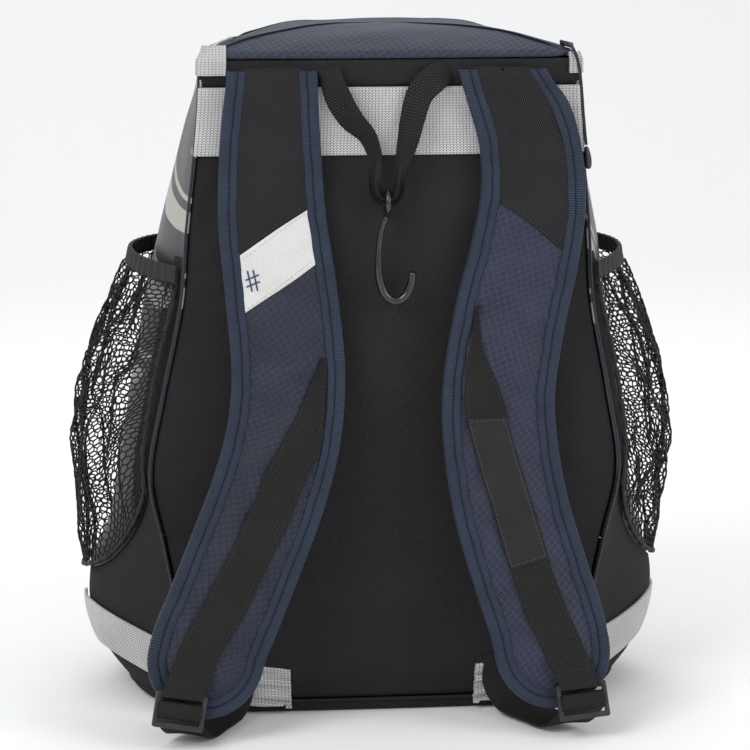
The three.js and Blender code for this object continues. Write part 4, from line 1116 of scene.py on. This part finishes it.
def sewing_thread(name, dark, pale, roughness):
    """Two-ply thread, paler on the crowns of its twist."""
    ply = Finish(name, Roughness=roughness)
    twist = (ply.place.node("SeparateXYZ", output=2, sockets={"Vector": ply.place}) / 0.0005).wave()
    ply.give(Base_Color=ply.mix(tone(dark), tone(pale), twist))
    ply.bump(twist, 0.00005)
    return ply


stitch_thread = sewing_thread("navy_stitch_thread", "#05070d", "#10172a", 0.6)
black_thread = sewing_thread("black_stitch_thread", "#0b0b0b", "#343434", 0.55)
STITCH = [
    (-1.0, 0.0, 0.0), (-0.8, 0.8, 0.55), (-0.8, -0.8, 0.55), (0.8, 0.8, 0.55), (0.8, -0.8, 0.55),
    (1.0, 0.0, 0.0), (0.0, 1.0, 0.1), (0.0, -1.0, 0.1), (0.0, 0.0, 1.0), (0.0, 0.0, -0.6),
]
STITCH_FACES = [
    (0, 2, 8, 1), (1, 8, 3, 6), (2, 7, 4, 8), (3, 8, 4, 5), (0, 1, 6, 9), (0, 9, 7, 2),
    (9, 6, 3, 5), (9, 5, 4, 7),
]


def stitches(name, runs, thread, pitch, long, wide):
    """Rows of stitches, each a small lens of thread: runs are (points, normals) along the cloth."""
    points, faces = [], []
    for path, normals in runs:
        path = np.asarray(path, float)
        run = np.concatenate([[0], np.cumsum(np.linalg.norm(np.diff(path, axis=0), axis=1))])
        count = max(int(run[-1] / pitch), 1)
        middle = (np.arange(count) + 0.5) * run[-1] / count
        at = lambda s, table: np.stack([np.interp(s, run, table[:, i]) for i in range(3)], axis=-1)
        centre, normal = at(middle, path), unit(at(middle, np.asarray(normals, float)))
        ahead = unit(at(np.minimum(middle + 0.4, run[-1]), path) - at(np.maximum(middle - 0.4, 0), path))
        aside = unit(np.cross(normal, ahead))
        for c, n, t, s in zip(centre, normal, ahead, aside):
            first = len(points)
            points.extend(c + t * x * long / 2 + s * y * wide / 2 + n * z * wide * 0.5 for x, y, z in STITCH)
            faces.extend(tuple(first + i for i in face) for face in STITCH_FACES)
    mesh = bpy.data.meshes.new(name)
    mesh.from_pydata([tuple(p) for p in metres(points)], [], faces)
    piece = bpy.data.objects.new(name, mesh)
    scene.collection.objects.link(piece)
    sealed(piece)
    done(piece, thread, "navy_binding" if thread is stitch_thread else "black_webbing")
    return piece


outer_lift = STRAP_EDGE / 2 + CLEARANCE + BINDING_CLOTH
inner_lift = STRAP_EDGE / 2 + CLEARANCE
GROOVE_AT = 6.6
half_section = [
    (0.15, 0.0), (0.2, 0.55), (0.7, 0.9), (1.8, 1.0), (3.5, 1.0), (5.4, 0.98), (GROOVE_AT - 0.5, 0.85),
    (GROOVE_AT, 0.66), (GROOVE_AT + 0.5, 0.85), (7.8, 0.98), (9.6, 1.0), (10.9, 0.98), (11.4, 0.85),
]
face_side = [(x, outer_lift * y) for x, y in half_section]
inner_side = [
    (BINDING_WIDTH, inner_lift + 0.2), (BINDING_WIDTH - 0.3, inner_lift), (BINDING_CLOTH, inner_lift - 0.1),
]
upper_half = face_side + inner_side
binding_section = upper_half + [(x, -y) for x, y in reversed(upper_half[1:])]


def edge_place(side, inward, k):
    """Along and offset of a place on the strap's edge, from one top end round the foot to the other."""
    start = round_start(side)
    length = strap_lines[side].length
    straight = start * length
    bend = math.pi * STRAP_WIDTH / 2
    run = k * (2 * straight + bend)
    first, last = run < straight, run > straight + bend
    angle = np.clip((run - straight) / bend, 0, 1) * math.pi
    reach = STRAP_WIDTH / 2 - inward
    along_side = np.where(first, run, 2 * straight + bend - run) / length
    along = np.where(first | last, along_side, start + np.sin(angle) * reach / length)
    sign = np.where(first, -1.0, 1.0)
    offset = np.where(first | last, sign * (half_width(along_side) - inward), -np.cos(angle) * reach)
    return along, offset


for side, sign in (("left", 1), ("right", 2)):
    def binding_at(q, n, k):
        wave = 0.35 * np.sin(k * 190 + sign) * np.sin(k * 67 + 2 * sign) * smooth(2, 9, q)
        along, offset = edge_place(side, q - wave, k)
        return strap_point(side, along, offset, n + np.sign(n) * 0.12 * np.sin(k * 260) * smooth(6, 11, q))

    tape = swept(f"binding_tape_{side}", binding_section, 420, binding_at, smooth_angle=50)
    done(tape, grosgrain, "navy_binding", f"strap_binding_{side}")
    k = np.linspace(0.004, 0.996, 800)
    along, offset = edge_place(side, np.full(800, GROOVE_AT), k)
    path = strap_point(side, along, offset, np.full(800, outer_lift * 0.74))
    above = strap_point(side, along, offset, np.full(800, outer_lift + 1))
    stitches(f"binding_stitches_{side}", [(path, above - path)], stitch_thread, 3.1, 2.2, 0.6)


# Facings: black twill over the top of each pad and, on the left strap, a white coated patch below
# it, both sewn in under the binding with a turned lower edge
white = Finish("white_coated_patch", Roughness=0.45)
cell = white.start.node(
    "TexVoronoi", {"feature": "DISTANCE_TO_EDGE"}, output=0,
    sockets={"Vector": white.start.node("UVMap", {"uv_map": "cloth"}), "Scale": 260.0, "Randomness": 0.25},
)
emboss = cell.ease(0.02, 0.12)
white.colour("#bdbdbb", "#c9c9c7", emboss * 0.35 + white.noise(0.02) * 0.65)
white.bump(emboss, 0.0001, 0.6)
FACING_TUCK = 9.0


def facing(name, side, start, end, finish, slot, node, rows, rise=0.75):
    """Cloth laid on the pad between two slanted lines, its sides tucked under the binding."""
    def at(a, b):
        foot, head = end(a), start(a)
        along = foot + (head - foot) * b
        offset = (half_width(along) - FACING_TUCK) * (2 * a - 1)
        tuck = 1 - smooth(FACING_TUCK, BINDING_WIDTH + 1.5, margin(side, along, offset))
        lift = on_pad(side, along, offset) + rise * (1 - tuck) + 0.18 * tuck
        roll = 0.25 * (1 - smooth(0, 0.03, b))
        return strap_point(side, along, offset, lift - roll)
    piece = laid(name, at, 30, rows, 0.5, 0.3)
    return done(piece, finish, slot, node)


def seam_of(side):
    left_seam, right_seam = FACING_SEAM[side]
    return lambda a: left_seam + (right_seam - left_seam) * a


def facing_seam(side, shift):
    """A row of stitches beside the facing's lower edge: its points and the way out of the cloth."""
    a = np.linspace(0.03, 0.97, 60)
    along = seam_of(side)(a) + shift
    offset = (half_width(along) - BINDING_WIDTH) * (2 * a - 1)
    height = on_pad(side, along, offset)
    path = strap_point(side, along, offset, height + 0.8)
    return path, strap_point(side, along, offset, height + 3) - path


for side in ("left", "right"):
    seam = seam_of(side)
    facing(f"twill_facing_{side}", side, lambda a: np.full(a.shape, -0.004), lambda a: seam(a) - 0.001, twill,
           "black_twill", f"strap_facing_{side}", 60)
    stitches(f"facing_stitches_{side}", [facing_seam(side, -0.006)], black_thread, 2.8, 2.0, 0.5)
seam = seam_of("left")
facing("white_number_patch", "left", seam, lambda a: seam(a) + PATCH_SHARE, white, "white_patch",
       "number_patch", 24)
runs = [facing_seam("left", shift) for shift in (0.006, PATCH_SHARE - 0.006)]
pale_thread = sewing_thread("pale_stitch_thread", "#a9a9a8", "#e0e0de", 0.6)
patch_stitches = stitches("patch_stitches", runs, pale_thread, 2.8, 2.0, 0.5)

# Number sign: four thin raised bars printed on the patch where the wearer's number follows
ink = Finish("navy_ink", Roughness=0.5)
ink.colour("#1b2644", "#27345a", ink.noise(0.002))
ink.bump(ink.noise(0.0005, 2), 0.00003)
SIGN_ALONG = 0.3115
SIGN_OFFSET = -16.6


def sign_bar(name, along_from, offset_from, along_to, offset_to, wide=0.9):
    ends = np.array([[along_from, offset_from], [along_to, offset_to]])
    step = ends[1] - ends[0]
    length = strap_lines["left"].length
    direction = unit(np.array([[step[1], step[0] * length]]))[0]

    def at(a, b):
        along = ends[0, 0] + step[0] * b + (a - 0.5) * wide * -direction[0] / length
        offset = ends[0, 1] + step[1] * b + (a - 0.5) * wide * direction[1]
        return strap_point("left", along, offset, on_pad("left", along, offset) + 0.95)
    bar = laid(name, at, 2, 14, 0.2, 0)
    return done(bar, ink, "white_patch")


unit_along = 1 / strap_lines["left"].length
for number, shift in enumerate((-1.7, 1.7)):
    sign_bar(f"sign_upright_{number}", SIGN_ALONG - 6.6 * unit_along, SIGN_OFFSET + shift - 0.6,
             SIGN_ALONG + 6.6 * unit_along, SIGN_OFFSET + shift + 0.6)
    sign_bar(f"sign_level_{number}", SIGN_ALONG + (shift * 1.25 + 1.2) * unit_along, SIGN_OFFSET - 4.2,
             SIGN_ALONG + (shift * 1.25 - 1.2) * unit_along, SIGN_OFFSET + 4.2)


# Webbing: a black band sewn down each strap over the facing, with a doubled seam and two pairs of
# stitched rows across it above the buckle. Its dashes come from the warp floating over the weft
webbing = Finish("black_webbing", Roughness=0.75, Specular_IOR_Level=0.3)
row = webbing.v / 0.0012
across = webbing.u / 0.0021
offset_row = row.floor() * 0.5
dash = (across + offset_row).wave() * row.wave()
shade = webbing.noise(0.03, 3).ease(0.3, 0.7)
webbing.give(Base_Color=webbing.mix(
    webbing.mix(tone("#070706"), tone("#0d0d0b"), shade), tone("#33322e"), dash.ease(0.3, 0.95),
))
webbing.bump(dash, 0.0003)
webbing_seat = STRAP_PADDING / 2 + 2 * CLEARANCE


def webbing_edges(side, along):
    offset = read(WEBBING_ROWS[side], 1, along) * STRAP_WIDTH
    limit = half_width(along) - BINDING_WIDTH - 4 * CLEARANCE
    bound = np.where(along < 0.9, limit, STRAP_WIDTH)
    low = np.clip(offset - WEBBING_WIDTH / 2, -bound, bound - WEBBING)
    high = np.clip(offset + WEBBING_WIDTH / 2, WEBBING - bound, bound)
    return low, high


def webbing_lift(side, along, offset):
    rise = (BUCKLE_THICKNESS + 2 * CLEARANCE) * smooth(0.91, 0.955, along)
    pad = on_pad(side, along, offset) + 0.3
    soft = 0.25 * pad + 0.75 * webbing_seat
    return np.where(along < 0.9, np.minimum(pad, webbing_seat + 0.6) * 0.6 + soft * 0.4, webbing_seat) + rise


def webbing_at(side, a, along, lift):
    low, high = webbing_edges(side, along)
    offset = low + (high - low) * a
    return strap_point(side, along, offset, webbing_lift(side, along, offset) + lift)


for side in ("left", "right"):
    rows = WEBBING_ROWS[side]
    first, last = rows[0][0] + 0.012, rows[-1][0]

    def at(a, b):
        along = last + (first - last) * b
        return webbing_at(side, a, along, np.full(a.shape, WEBBING * 0.85))

    band = laid(f"webbing_band_{side}", at, 14, 150, WEBBING * 0.85, 0.3)
    done(band, webbing, "black_webbing", f"strap_webbing_{side}")
    runs = []

    def seam_run(a, along):
        a, along = np.broadcast_arrays(np.asarray(a, float), np.asarray(along, float))
        path = webbing_at(side, a, along, np.full(a.shape, WEBBING * 0.85 + 0.05))
        return path, webbing_at(side, a, along, np.full(a.shape, 4.0)) - path

    for edge in (0.09, 0.91):
        runs.append(seam_run(edge, np.linspace(first + 0.03, last - 0.04, 300)))
    for along in (0.868, 0.875) if side == "left" else (0.895, 0.902):
        runs.append(seam_run(np.linspace(0.05, 0.95, 30), along))
    for along in (0.9, 0.925) if side == "left" else (0.925, 0.945):
        runs.append(seam_run(np.linspace(0.1, 0.9, 30), along))
    stitches(f"webbing_stitches_{side}", runs, black_thread, 2.7, 2.0, 0.5)

# Label: a soft moulded patch sewn round its edge on the right strap's webbing, left bare
LABEL_START = 0.545
LABEL_LENGTH = 92
rubber = Finish("black_label", Roughness=0.55, Specular_IOR_Level=0.35)
speckle = rubber.noise(0.0009, 3)
rubber.give(
    Base_Color=rubber.mix(tone("#0d0c0d"), tone("#151415"), speckle.ease(0.3, 0.7)),
    Roughness=0.5 + speckle * 0.2,
)
rubber.bump(speckle, 0.0001)
label_share = LABEL_LENGTH / strap_lines["right"].length


def label_at(a, b, lift=0.9):
    along = LABEL_START + (1 - b) * label_share
    return webbing_at("right", 0.02 + 0.96 * a, along, np.full(np.shape(a), WEBBING * 0.85 + lift))


label = laid("label_bare", lambda a, b: label_at(a, b, 0.85 - 0.25 * ((2 * a - 1) ** 8 + (2 * b - 1) ** 24)),
             16, 50, 0.6, 0.35)
done(label, rubber, "label_cloth", "label_patch")
edge = [(0.06, 0.02), (0.94, 0.02), (0.94, 0.98), (0.06, 0.98), (0.06, 0.02)]
runs = []
for (a0, b0), (a1, b1) in zip(edge, edge[1:]):
    t = np.linspace(0, 1, 60)
    a, b = a0 + (a1 - a0) * t, b0 + (b1 - b0) * t
    path = label_at(a, b, 0.92)
    runs.append((path, label_at(a, b, 3) - path))
label_thread = sewing_thread("grey_stitch_thread", "#2a2a2c", "#59595c", 0.6)
label_stitches = stitches("label_stitches", runs, label_thread, 2.4, 1.8, 0.5)


# Buckles and adjusters: a three-bar ladder buckle of black plastic at each strap's foot. Webbing
# runs over its middle bar and back under the bag's corner
BUCKLE_LENGTH = 22
BUCKLE_BAR = 3.4
BUCKLE_PLACE = {"left": (0.993, -0.17), "right": (0.993, 0.19)}
ADJUSTER_BAR = [(-1, -0.15), (-0.87, 0.8), (0, 1.13), (0.87, 0.8), (1, 0), (1.13, -1.53)]
ADJUSTER_ROWS = [(0.2, 3.75), (0.5, 2.8), (0.82, 4.4)]
ADJUSTER_SEAT = [(0.026, 1.0), (0.045, 0.25), (0.07, 0.12)]
ADJUSTER_FOOT = {"left": 0.13, "right": 0.79}
ADJUSTER_WIDTH = 24
OVERLAY = 0.8
BAND_THICKNESS = 1.6

for side in ("left", "right"):
    buckle = copied(f"ladder_buckle_{side}", f"buckle_{side}")
    run_modifier(
        buckle, "rounding", "BEVEL", width=0.00115, segments=4, limit_method="ANGLE",
        angle_limit=math.radians(40), use_clamp_overlap=True,
    )
    only(buckle)
    bpy.ops.object.shade_smooth_by_angle(angle=math.radians(50))
    done(buckle, satin, "black_plastic", f"buckle_{side}")

    along, offset = BUCKLE_PLACE[side]
    lift = webbing_seat + BUCKLE_THICKNESS / 2

    def by_buckle(da, dq):
        place = [np.array([value]) for value in (along + da, offset * STRAP_WIDTH + dq, lift)]
        return strap_point(side, *place)[0]

    centre = by_buckle(0, 0)
    down = unit(by_buckle(BUCKLE_LENGTH / strap_lines[side].length, 0) - centre)
    across = unit(by_buckle(0, BUCKLE_LENGTH) - centre)
    face = np.cross(down, across)
    over = BUCKLE_THICKNESS / 2 + WEBBING / 2 + 2 * CLEARANCE
    slot_step = (BUCKLE_LENGTH - BUCKLE_BAR) / 4
    on_bar = [centre + down * d * slot_step + face * o * over for d, o in ADJUSTER_BAR]
    seat = OVERLAY + BAND_THICKNESS + CLEARANCE + WEBBING / 2
    foot = [
        body(np.array([ADJUSTER_FOOT[side]]), np.array([h]), np.array([seat + away * WEBBING]))[0]
        for h, away in ADJUSTER_SEAT
    ]
    sag = []
    for share, height in ADJUSTER_ROWS:
        point = on_bar[-1] + (foot[0] - on_bar[-1]) * share
        sag.append(np.array([point[0], point[1], height * WEBBING]))
    line = Line(on_bar + sag + foot)

    def flat(q, n, k, line=line, across=across):
        tangent = line.tangent(k)
        hint = across + (np.array([1.0, 0, 0]) - across) * smooth(0.3, 0.9, k)[..., None]
        wide, normal = framed(tangent, hint)
        return line.point(k) + wide * q[..., None] + normal * n[..., None]

    half = ADJUSTER_WIDTH / 2 + 1.1
    tape = swept(f"adjuster_band_{side}", [
        (-half, -0.5), (-half + 0.5, -0.8), (0, -0.8), (half - 0.5, -0.8), (half, -0.5),
        (half, 0.5), (half - 0.5, 0.8), (0, 0.8), (-half + 0.5, 0.8), (-half, 0.5),
    ], 150, flat, smooth_angle=60)
    done(tape, webbing, "black_webbing", f"adjuster_webbing_{side}")

# Anchor bands: silver webbing round each lower corner, sewn into the side seam and folded under
# the adjuster, where its end is gathered
ANCHOR_WIDTH = 27
ANCHOR_ROWS = {
    "left": [(-0.55, 0.095), (-0.35, 0.092), (-0.15, 0.075), (0.0, 0.055), (0.12, 0.035), (0.27, 0.022)],
    "right": [(1.55, 0.095), (1.35, 0.092), (1.15, 0.075), (1.0, 0.06), (0.88, 0.04), (0.72, 0.022)],
}
for side in ("left", "right"):
    knots = np.array([(a, b, 0) for a, b in ANCHOR_ROWS[side]], float)
    fine = catmull(knots, 400)

    def anchor_at(share, a):
        turn = np.interp(share, np.linspace(0, 1, 401), fine[:, 0])
        height = np.interp(share, np.linspace(0, 1, 401), fine[:, 1])
        end = smooth(0.72, 1.0, share)
        gather = end * (1.3 * np.sin(a * 21 + share * 9) + 0.8 * np.sin(a * 37 - share * 14))
        out = OVERLAY + BAND_THICKNESS + 0.4 * creases(a, share, 71, 4, 1, 2) + gather * 0.7 + 0.8 * end
        rise = (a - 0.5) * ANCHOR_WIDTH
        return body(turn, np.maximum(height + rise / BODY_HEIGHT, -0.006), out)

    piece = laid(f"anchor_webbing_{side}", anchor_at, 120, 36, BAND_THICKNESS, 0.3, flip=side == "right")
    done(piece, chevron, "silver_webbing", f"anchor_band_{side}")


# Side pockets: knitted net gathered into an elastic hem, slack so that it crumples in upright
# folds. Its strands are real cords round six-sided holes
NET_EDGE = 0.02
POCKET_TOP = 284
HEM_HEIGHT = 11
POCKET_BULGE = 30
POCKET_FULLNESS = 0.7
BULGE_ROWS = [(0.0, 0.07), (0.12, 0.4), (0.3, 0.8), (0.5, 1.0), (0.7, 0.93), (0.85, 0.68), (1.0, 0.42)]
NET_TOP = (POCKET_TOP - HEM_HEIGHT - CLEARANCE - BASE_THICKNESS - CLEARANCE) / BODY_HEIGHT
NET_ACROSS = 40
NET_UP = 50
STRAND = 1.25


def pocket_stand(t, rise):
    return OVERLAY + POCKET_BULGE * read(BULGE_ROWS, 1, rise) * np.abs(np.sin(math.pi * t)) ** POCKET_FULLNESS


def pocket_point(side, a, b, out, phase):
    t = NET_EDGE + (1 - 2 * NET_EDGE) * a
    turn = 1 + t if side == "right" else 4 - t
    fade = smooth(0, 0.1, a) * smooth(0, 0.1, 1 - a) * smooth(0, 0.12, b)
    fold = 2.6 * np.sin(a * 34 + 5 * np.sin(b * 4 + phase) + phase) + 1.6 * np.sin(a * 61 + b * 13 + phase)
    slack = 1.3 * creases(a, b, 80, 5, 1.5, 2.5)
    foot = read(FOOT_ROWS, 1, t)
    shift = 0.006 * np.sin(a * 29 + b * 7 + phase) * fade
    height = foot + (NET_TOP - foot) * b
    height = height + 0.008 * np.sin(b * 21 + a * 16 + phase) * fade * smooth(0, 0.2, 1 - b)
    return body(turn + shift, height, pocket_stand(t, b) + out + (fold + slack) * fade * 0.8)


net_thread = Finish("black_net_cord", Roughness=0.6, Specular_IOR_Level=0.35)
knit = net_thread.noise(0.0009, 2).ease(0.3, 0.7)
net_thread.colour("#060607", "#18181a", knit)
net_thread.bump(knit, 0.0001)
elastic = Finish("black_elastic_hem", Roughness=0.75)
rib = (elastic.v / 0.0011).wave() * 0.7 + (elastic.u / 0.0016).wave() * 0.3
elastic.colour("#070708", "#1d1d1f", rib)
elastic.bump(rib, 0.00025)

for side, phase in (("left", 0.4), ("right", 2.1)):
    points, faces, index = [], [], {}

    def corner(i, j):
        if (i, j) not in index:
            index[i, j] = len(points)
            points.append((i, j))
        return index[i, j]

    # Each six-sided hole: its corners lie on a brick grid whose rows step by half a hole
    for row in range(NET_UP):
        for column in range(-(row % 2), 2 * NET_ACROSS, 2):
            low, high = 3 * row, 3 * row + 4
            ring = [
                corner(column, low + 1), corner(column + 1, low), corner(column + 2, low + 1),
                corner(column + 2, high - 1), corner(column + 1, high), corner(column, high - 1),
            ]
            faces.append(ring)
    lattice = np.array(points, float)
    a = np.clip(lattice[:, 0] / (2 * NET_ACROSS), 0, 1)
    b = np.clip(lattice[:, 1] / (3 * NET_UP + 1), 0, 1)
    placed = pocket_point(side, a, b, 0.6, phase)
    mesh = bpy.data.meshes.new(f"net_cords_{side}")
    mesh.from_pydata([tuple(p) for p in metres(placed)], [], faces)
    net = bpy.data.objects.new(f"net_cords_{side}", mesh)
    scene.collection.objects.link(net)
    run_modifier(net, "cords", "WIREFRAME", thickness=STRAND / 1000, use_even_offset=False, use_boundary=True)
    shaded(net)
    done(net, net_thread, "pocket_net", f"pocket_net_{side}")

    # The net's cut edge is rolled and gathered into the seams at its sides and foot
    sweep = np.concatenate([np.full(14, 0.004), np.linspace(0.03, 0.97, 30), np.full(14, 0.996)])
    climb = np.concatenate([np.linspace(0.97, 0.04, 14), np.full(30, 0.004), np.linspace(0.04, 0.97, 14)])
    edge_line = Line(pocket_point(side, sweep, climb, 1.0, phase))
    roll = tube(f"pocket_edge_{side}", edge_line, 1.5, 10, 420,
                swell=lambda k: 1 + 0.22 * np.sin(k * 310) + 0.15 * np.sin(k * 171 + 1))
    done(roll, net_thread, "pocket_net")

    def hem_at(q, n, k):
        t = NET_EDGE + (1 - 2 * NET_EDGE) * k
        turn = 1 + t if side == "right" else 4 - t
        stand = pocket_stand(t, np.ones(t.shape))
        seat = body(turn, np.full(t.shape, NET_TOP), stand + q)
        above = body(turn, NET_TOP + n / BODY_HEIGHT, stand + q)
        gather = 0.35 * np.sin(k * 130 + phase) * smooth(0, 0.05, k) * smooth(0, 0.05, 1 - k)
        out = outward(turn, np.full(t.shape, NET_TOP)) * gather[..., None]
        return np.stack([above[..., 0], above[..., 1], seat[..., 2] + n], axis=-1) + out

    hem_section = [
        (0.2, 0.3), (1.2, 0.1), (2.2, 0.4), (2.5, 1.6), (2.3, 5), (2.5, 9), (2.3, 10.8), (1.2, 11.2),
        (0.2, 10.9), (0, 9), (0, 5), (0, 1.6),
    ]
    hem = swept(f"elastic_hem_{side}", hem_section, 260, hem_at, smooth_angle=60)
    done(hem, elastic, "black_webbing", f"pocket_hem_{side}")


# Hook loop: flat black webbing from the yoke's seam, its left leg folded over once, both legs
# drawn together where they pass through the hook's eye
LOOP_SPREAD = 88
LOOP_DROP = 80
LOOP_WIDTH = 17
LOOP_STAND = 13.7
GATHER = 7.2
LOOP_ROWS = [
    (-0.385, 0.0, 0.0, 0.8, 0.0, 0), (-0.37, 0.1, 0.36, 0.85, 0.0, 14), (-0.33, 0.22, 0.49, 1.0, 0.0, 24),
    (-0.24, 0.39, 0.6, 1.0, 0.0, 34), (-0.13, 0.52, 0.74, 0.85, 0.05, 46), (-0.08, 0.68, 0.87, 0.7, 0.25, 50),
    (-0.085, 0.84, 1.0, 0.5, 0.8, 25), (-0.078, 0.93, 1.0, 0.44, 1.0, 8), (-0.045, 0.985, 1.0, 0.42, 1.0, 0),
    (0.0, 1.0, 1.0, 0.42, 1.0, 0), (0.045, 0.985, 1.0, 0.42, 1.0, 0), (0.078, 0.93, 1.0, 0.44, 1.0, -8),
    (0.09, 0.84, 1.0, 0.5, 0.8, -20), (0.115, 0.7, 0.92, 0.7, 0.25, -30), (0.145, 0.56, 0.84, 0.85, 0.05, -34),
    (0.18, 0.38, 0.7, 0.95, 0.0, -30), (0.24, 0.19, 0.54, 1.0, 0.0, -24), (0.34, 0.08, 0.44, 1.0, 0.0, -12),
    (0.44, 0.02, 0.0, 0.8, 0.0, 0),
]
loop_seat = BACK_CROWN + CLEARANCE + WEBBING / 2
loop_top = BODY_TOP - CLEARANCE - LOOP_WIDTH * 0.25


def loop_knot(row):
    return (row[0] * LOOP_SPREAD, -loop_seat - row[2] * LOOP_STAND, loop_top - row[1] * LOOP_DROP)


loop_fine = catmull([loop_knot(row) for row in LOOP_ROWS], 900)
loop_tangent = unit(np.gradient(loop_fine, axis=0))
loop_share = np.linspace(0, 1, 901)


def loop_at(q, n, k):
    place = k * (len(LOOP_ROWS) - 1)
    rows = np.column_stack([np.arange(len(LOOP_ROWS)), np.array(LOOP_ROWS)])
    wide, gather, twist = (read(rows, column, place) for column in (4, 5, 6))
    gather = np.clip(gather, 0, 1)
    tangent = unit(np.stack([np.interp(k, loop_share, loop_tangent[:, i]) for i in range(3)], axis=-1))
    point = np.stack([np.interp(k, loop_share, loop_fine[:, i]) for i in range(3)], axis=-1)
    across = unit(np.cross(tangent, np.array([0.0, 1, 0])))
    turn = np.radians(twist)[..., None]
    normal = np.cross(tangent, across)
    cos, sin = np.cos(turn), np.sin(turn)
    across, normal = across * cos + normal * sin, normal * cos - across * sin
    # Flat webbing rolls up into a bundle: its width folds into three waves as it is gathered
    half = LOOP_WIDTH * wide / 2
    flat_q, flat_n = q * half, n * WEBBING * 0.45 + 0.4 * np.sin(q * 3 + k * 40) * (1 - gather)
    roll_q = q * GATHER / 2
    roll_n = n * WEBBING * 0.5 + np.sin(q * 4.2 + 0.6) * GATHER * 0.26
    out_q, out_n = flat_q * (1 - gather) + roll_q * gather, flat_n * (1 - gather) + roll_n * gather
    return point + across * out_q[..., None] + normal * out_n[..., None]


loop_section = [(x, -1) for x in np.linspace(-0.97, 0.97, 15)] + [(1.0, -0.5), (1.0, 0.5)]
loop_section += [(x, 1) for x in np.linspace(0.97, -0.97, 15)] + [(-1.0, 0.5), (-1.0, -0.5)]
loop = swept("loop_webbing", loop_section, 240, loop_at, smooth_angle=60)
loop_web = Finish("black_loop_webbing", Roughness=0.75, Specular_IOR_Level=0.3)
row = loop_web.v / 0.0012
dash = (loop_web.u * 8.5 / 0.0021 + row.floor() * 0.5).wave() * row.wave()
loop_web.colour("#080807", "#3a3934", dash.ease(0.3, 0.95))
loop_web.bump(dash, 0.0003)
done(loop, loop_web, "black_webbing", "hook_loop")

# Fence hook: one piece of smooth coated wire, a closed eye on the loop and a stem that bends up
# to a rounded open tip. It swings on the loop
EYE_RADIUS = 5.2
HOOK_WIRE = 3.8
HOOK_LENGTH = 61
HOOK_WIDTH = 21
HOOK_ROWS = [
    (0, 0.116), (-0.1, 0.2), (-0.2, 0.33), (-0.25, 0.55), (-0.22, 0.77), (-0.04, 0.94),
    (0.24, 1.0), (0.52, 0.955), (0.7, 0.83), (0.745, 0.69),
]
hook_axis = np.array(loop_knot(LOOP_ROWS[9])) - [0, 0, EYE_RADIUS - GATHER / 2 - 2 * CLEARANCE]
hook_line = Line([
    (hook_axis[0] + aside * HOOK_WIDTH, hook_axis[1], hook_axis[2] - down * HOOK_LENGTH)
    for aside, down in [(0.0, 0.075)] + HOOK_ROWS
])
bpy.ops.object.select_all(action="DESELECT")
bpy.ops.mesh.primitive_torus_add(
    major_segments=64, minor_segments=24, major_radius=(EYE_RADIUS + HOOK_WIRE / 2) / 1000,
    minor_radius=HOOK_WIRE / 2000, location=tuple(metres(hook_axis)), rotation=(0, math.pi / 2, 0),
)
hook = bpy.context.object
hook.name = hook.data.name = "coated_hook"


def wire_swell(k):
    """The stem thickens below the eye, and its tip is rounded."""
    return (1.0 + 0.42 * smooth(0.25, 0.55, k)) * np.sqrt(1 - 0.96 * smooth(0.965, 1.0, k) ** 2)


shank = tube("hook_shank", hook_line, HOOK_WIRE / 2, 24, 160, hint=(0, 1, 0), swell=wire_swell)
only(hook)
shank.select_set(True)
bpy.ops.object.transform_apply(location=True, rotation=True, scale=True)
bpy.ops.object.join()
run_modifier(hook, "one_piece", "REMESH", mode="VOXEL", voxel_size=0.00045)
run_modifier(hook, "even", "SMOOTH", factor=0.5, iterations=6)
shaded(hook)
coating = Finish("grey_hook_coating", Roughness=0.24, Coat_Weight=0.4, Coat_Roughness=0.12)
wear = coating.noise(0.006, 4).ease(0.5, 0.8)
coating.give(
    Base_Color=coating.mix(tone("#121215"), tone("#1b1b1f"), wear), Roughness=0.2 + wear * 0.12,
)
coating.bump(coating.noise(0.0012, 2), 0.00003)
done(hook, coating, "hook_plastic", "fence_hook", body="hook")
low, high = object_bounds()
{"cad": [list(corner) for corner in cad_box], "visual": [list(low), list(high)]}
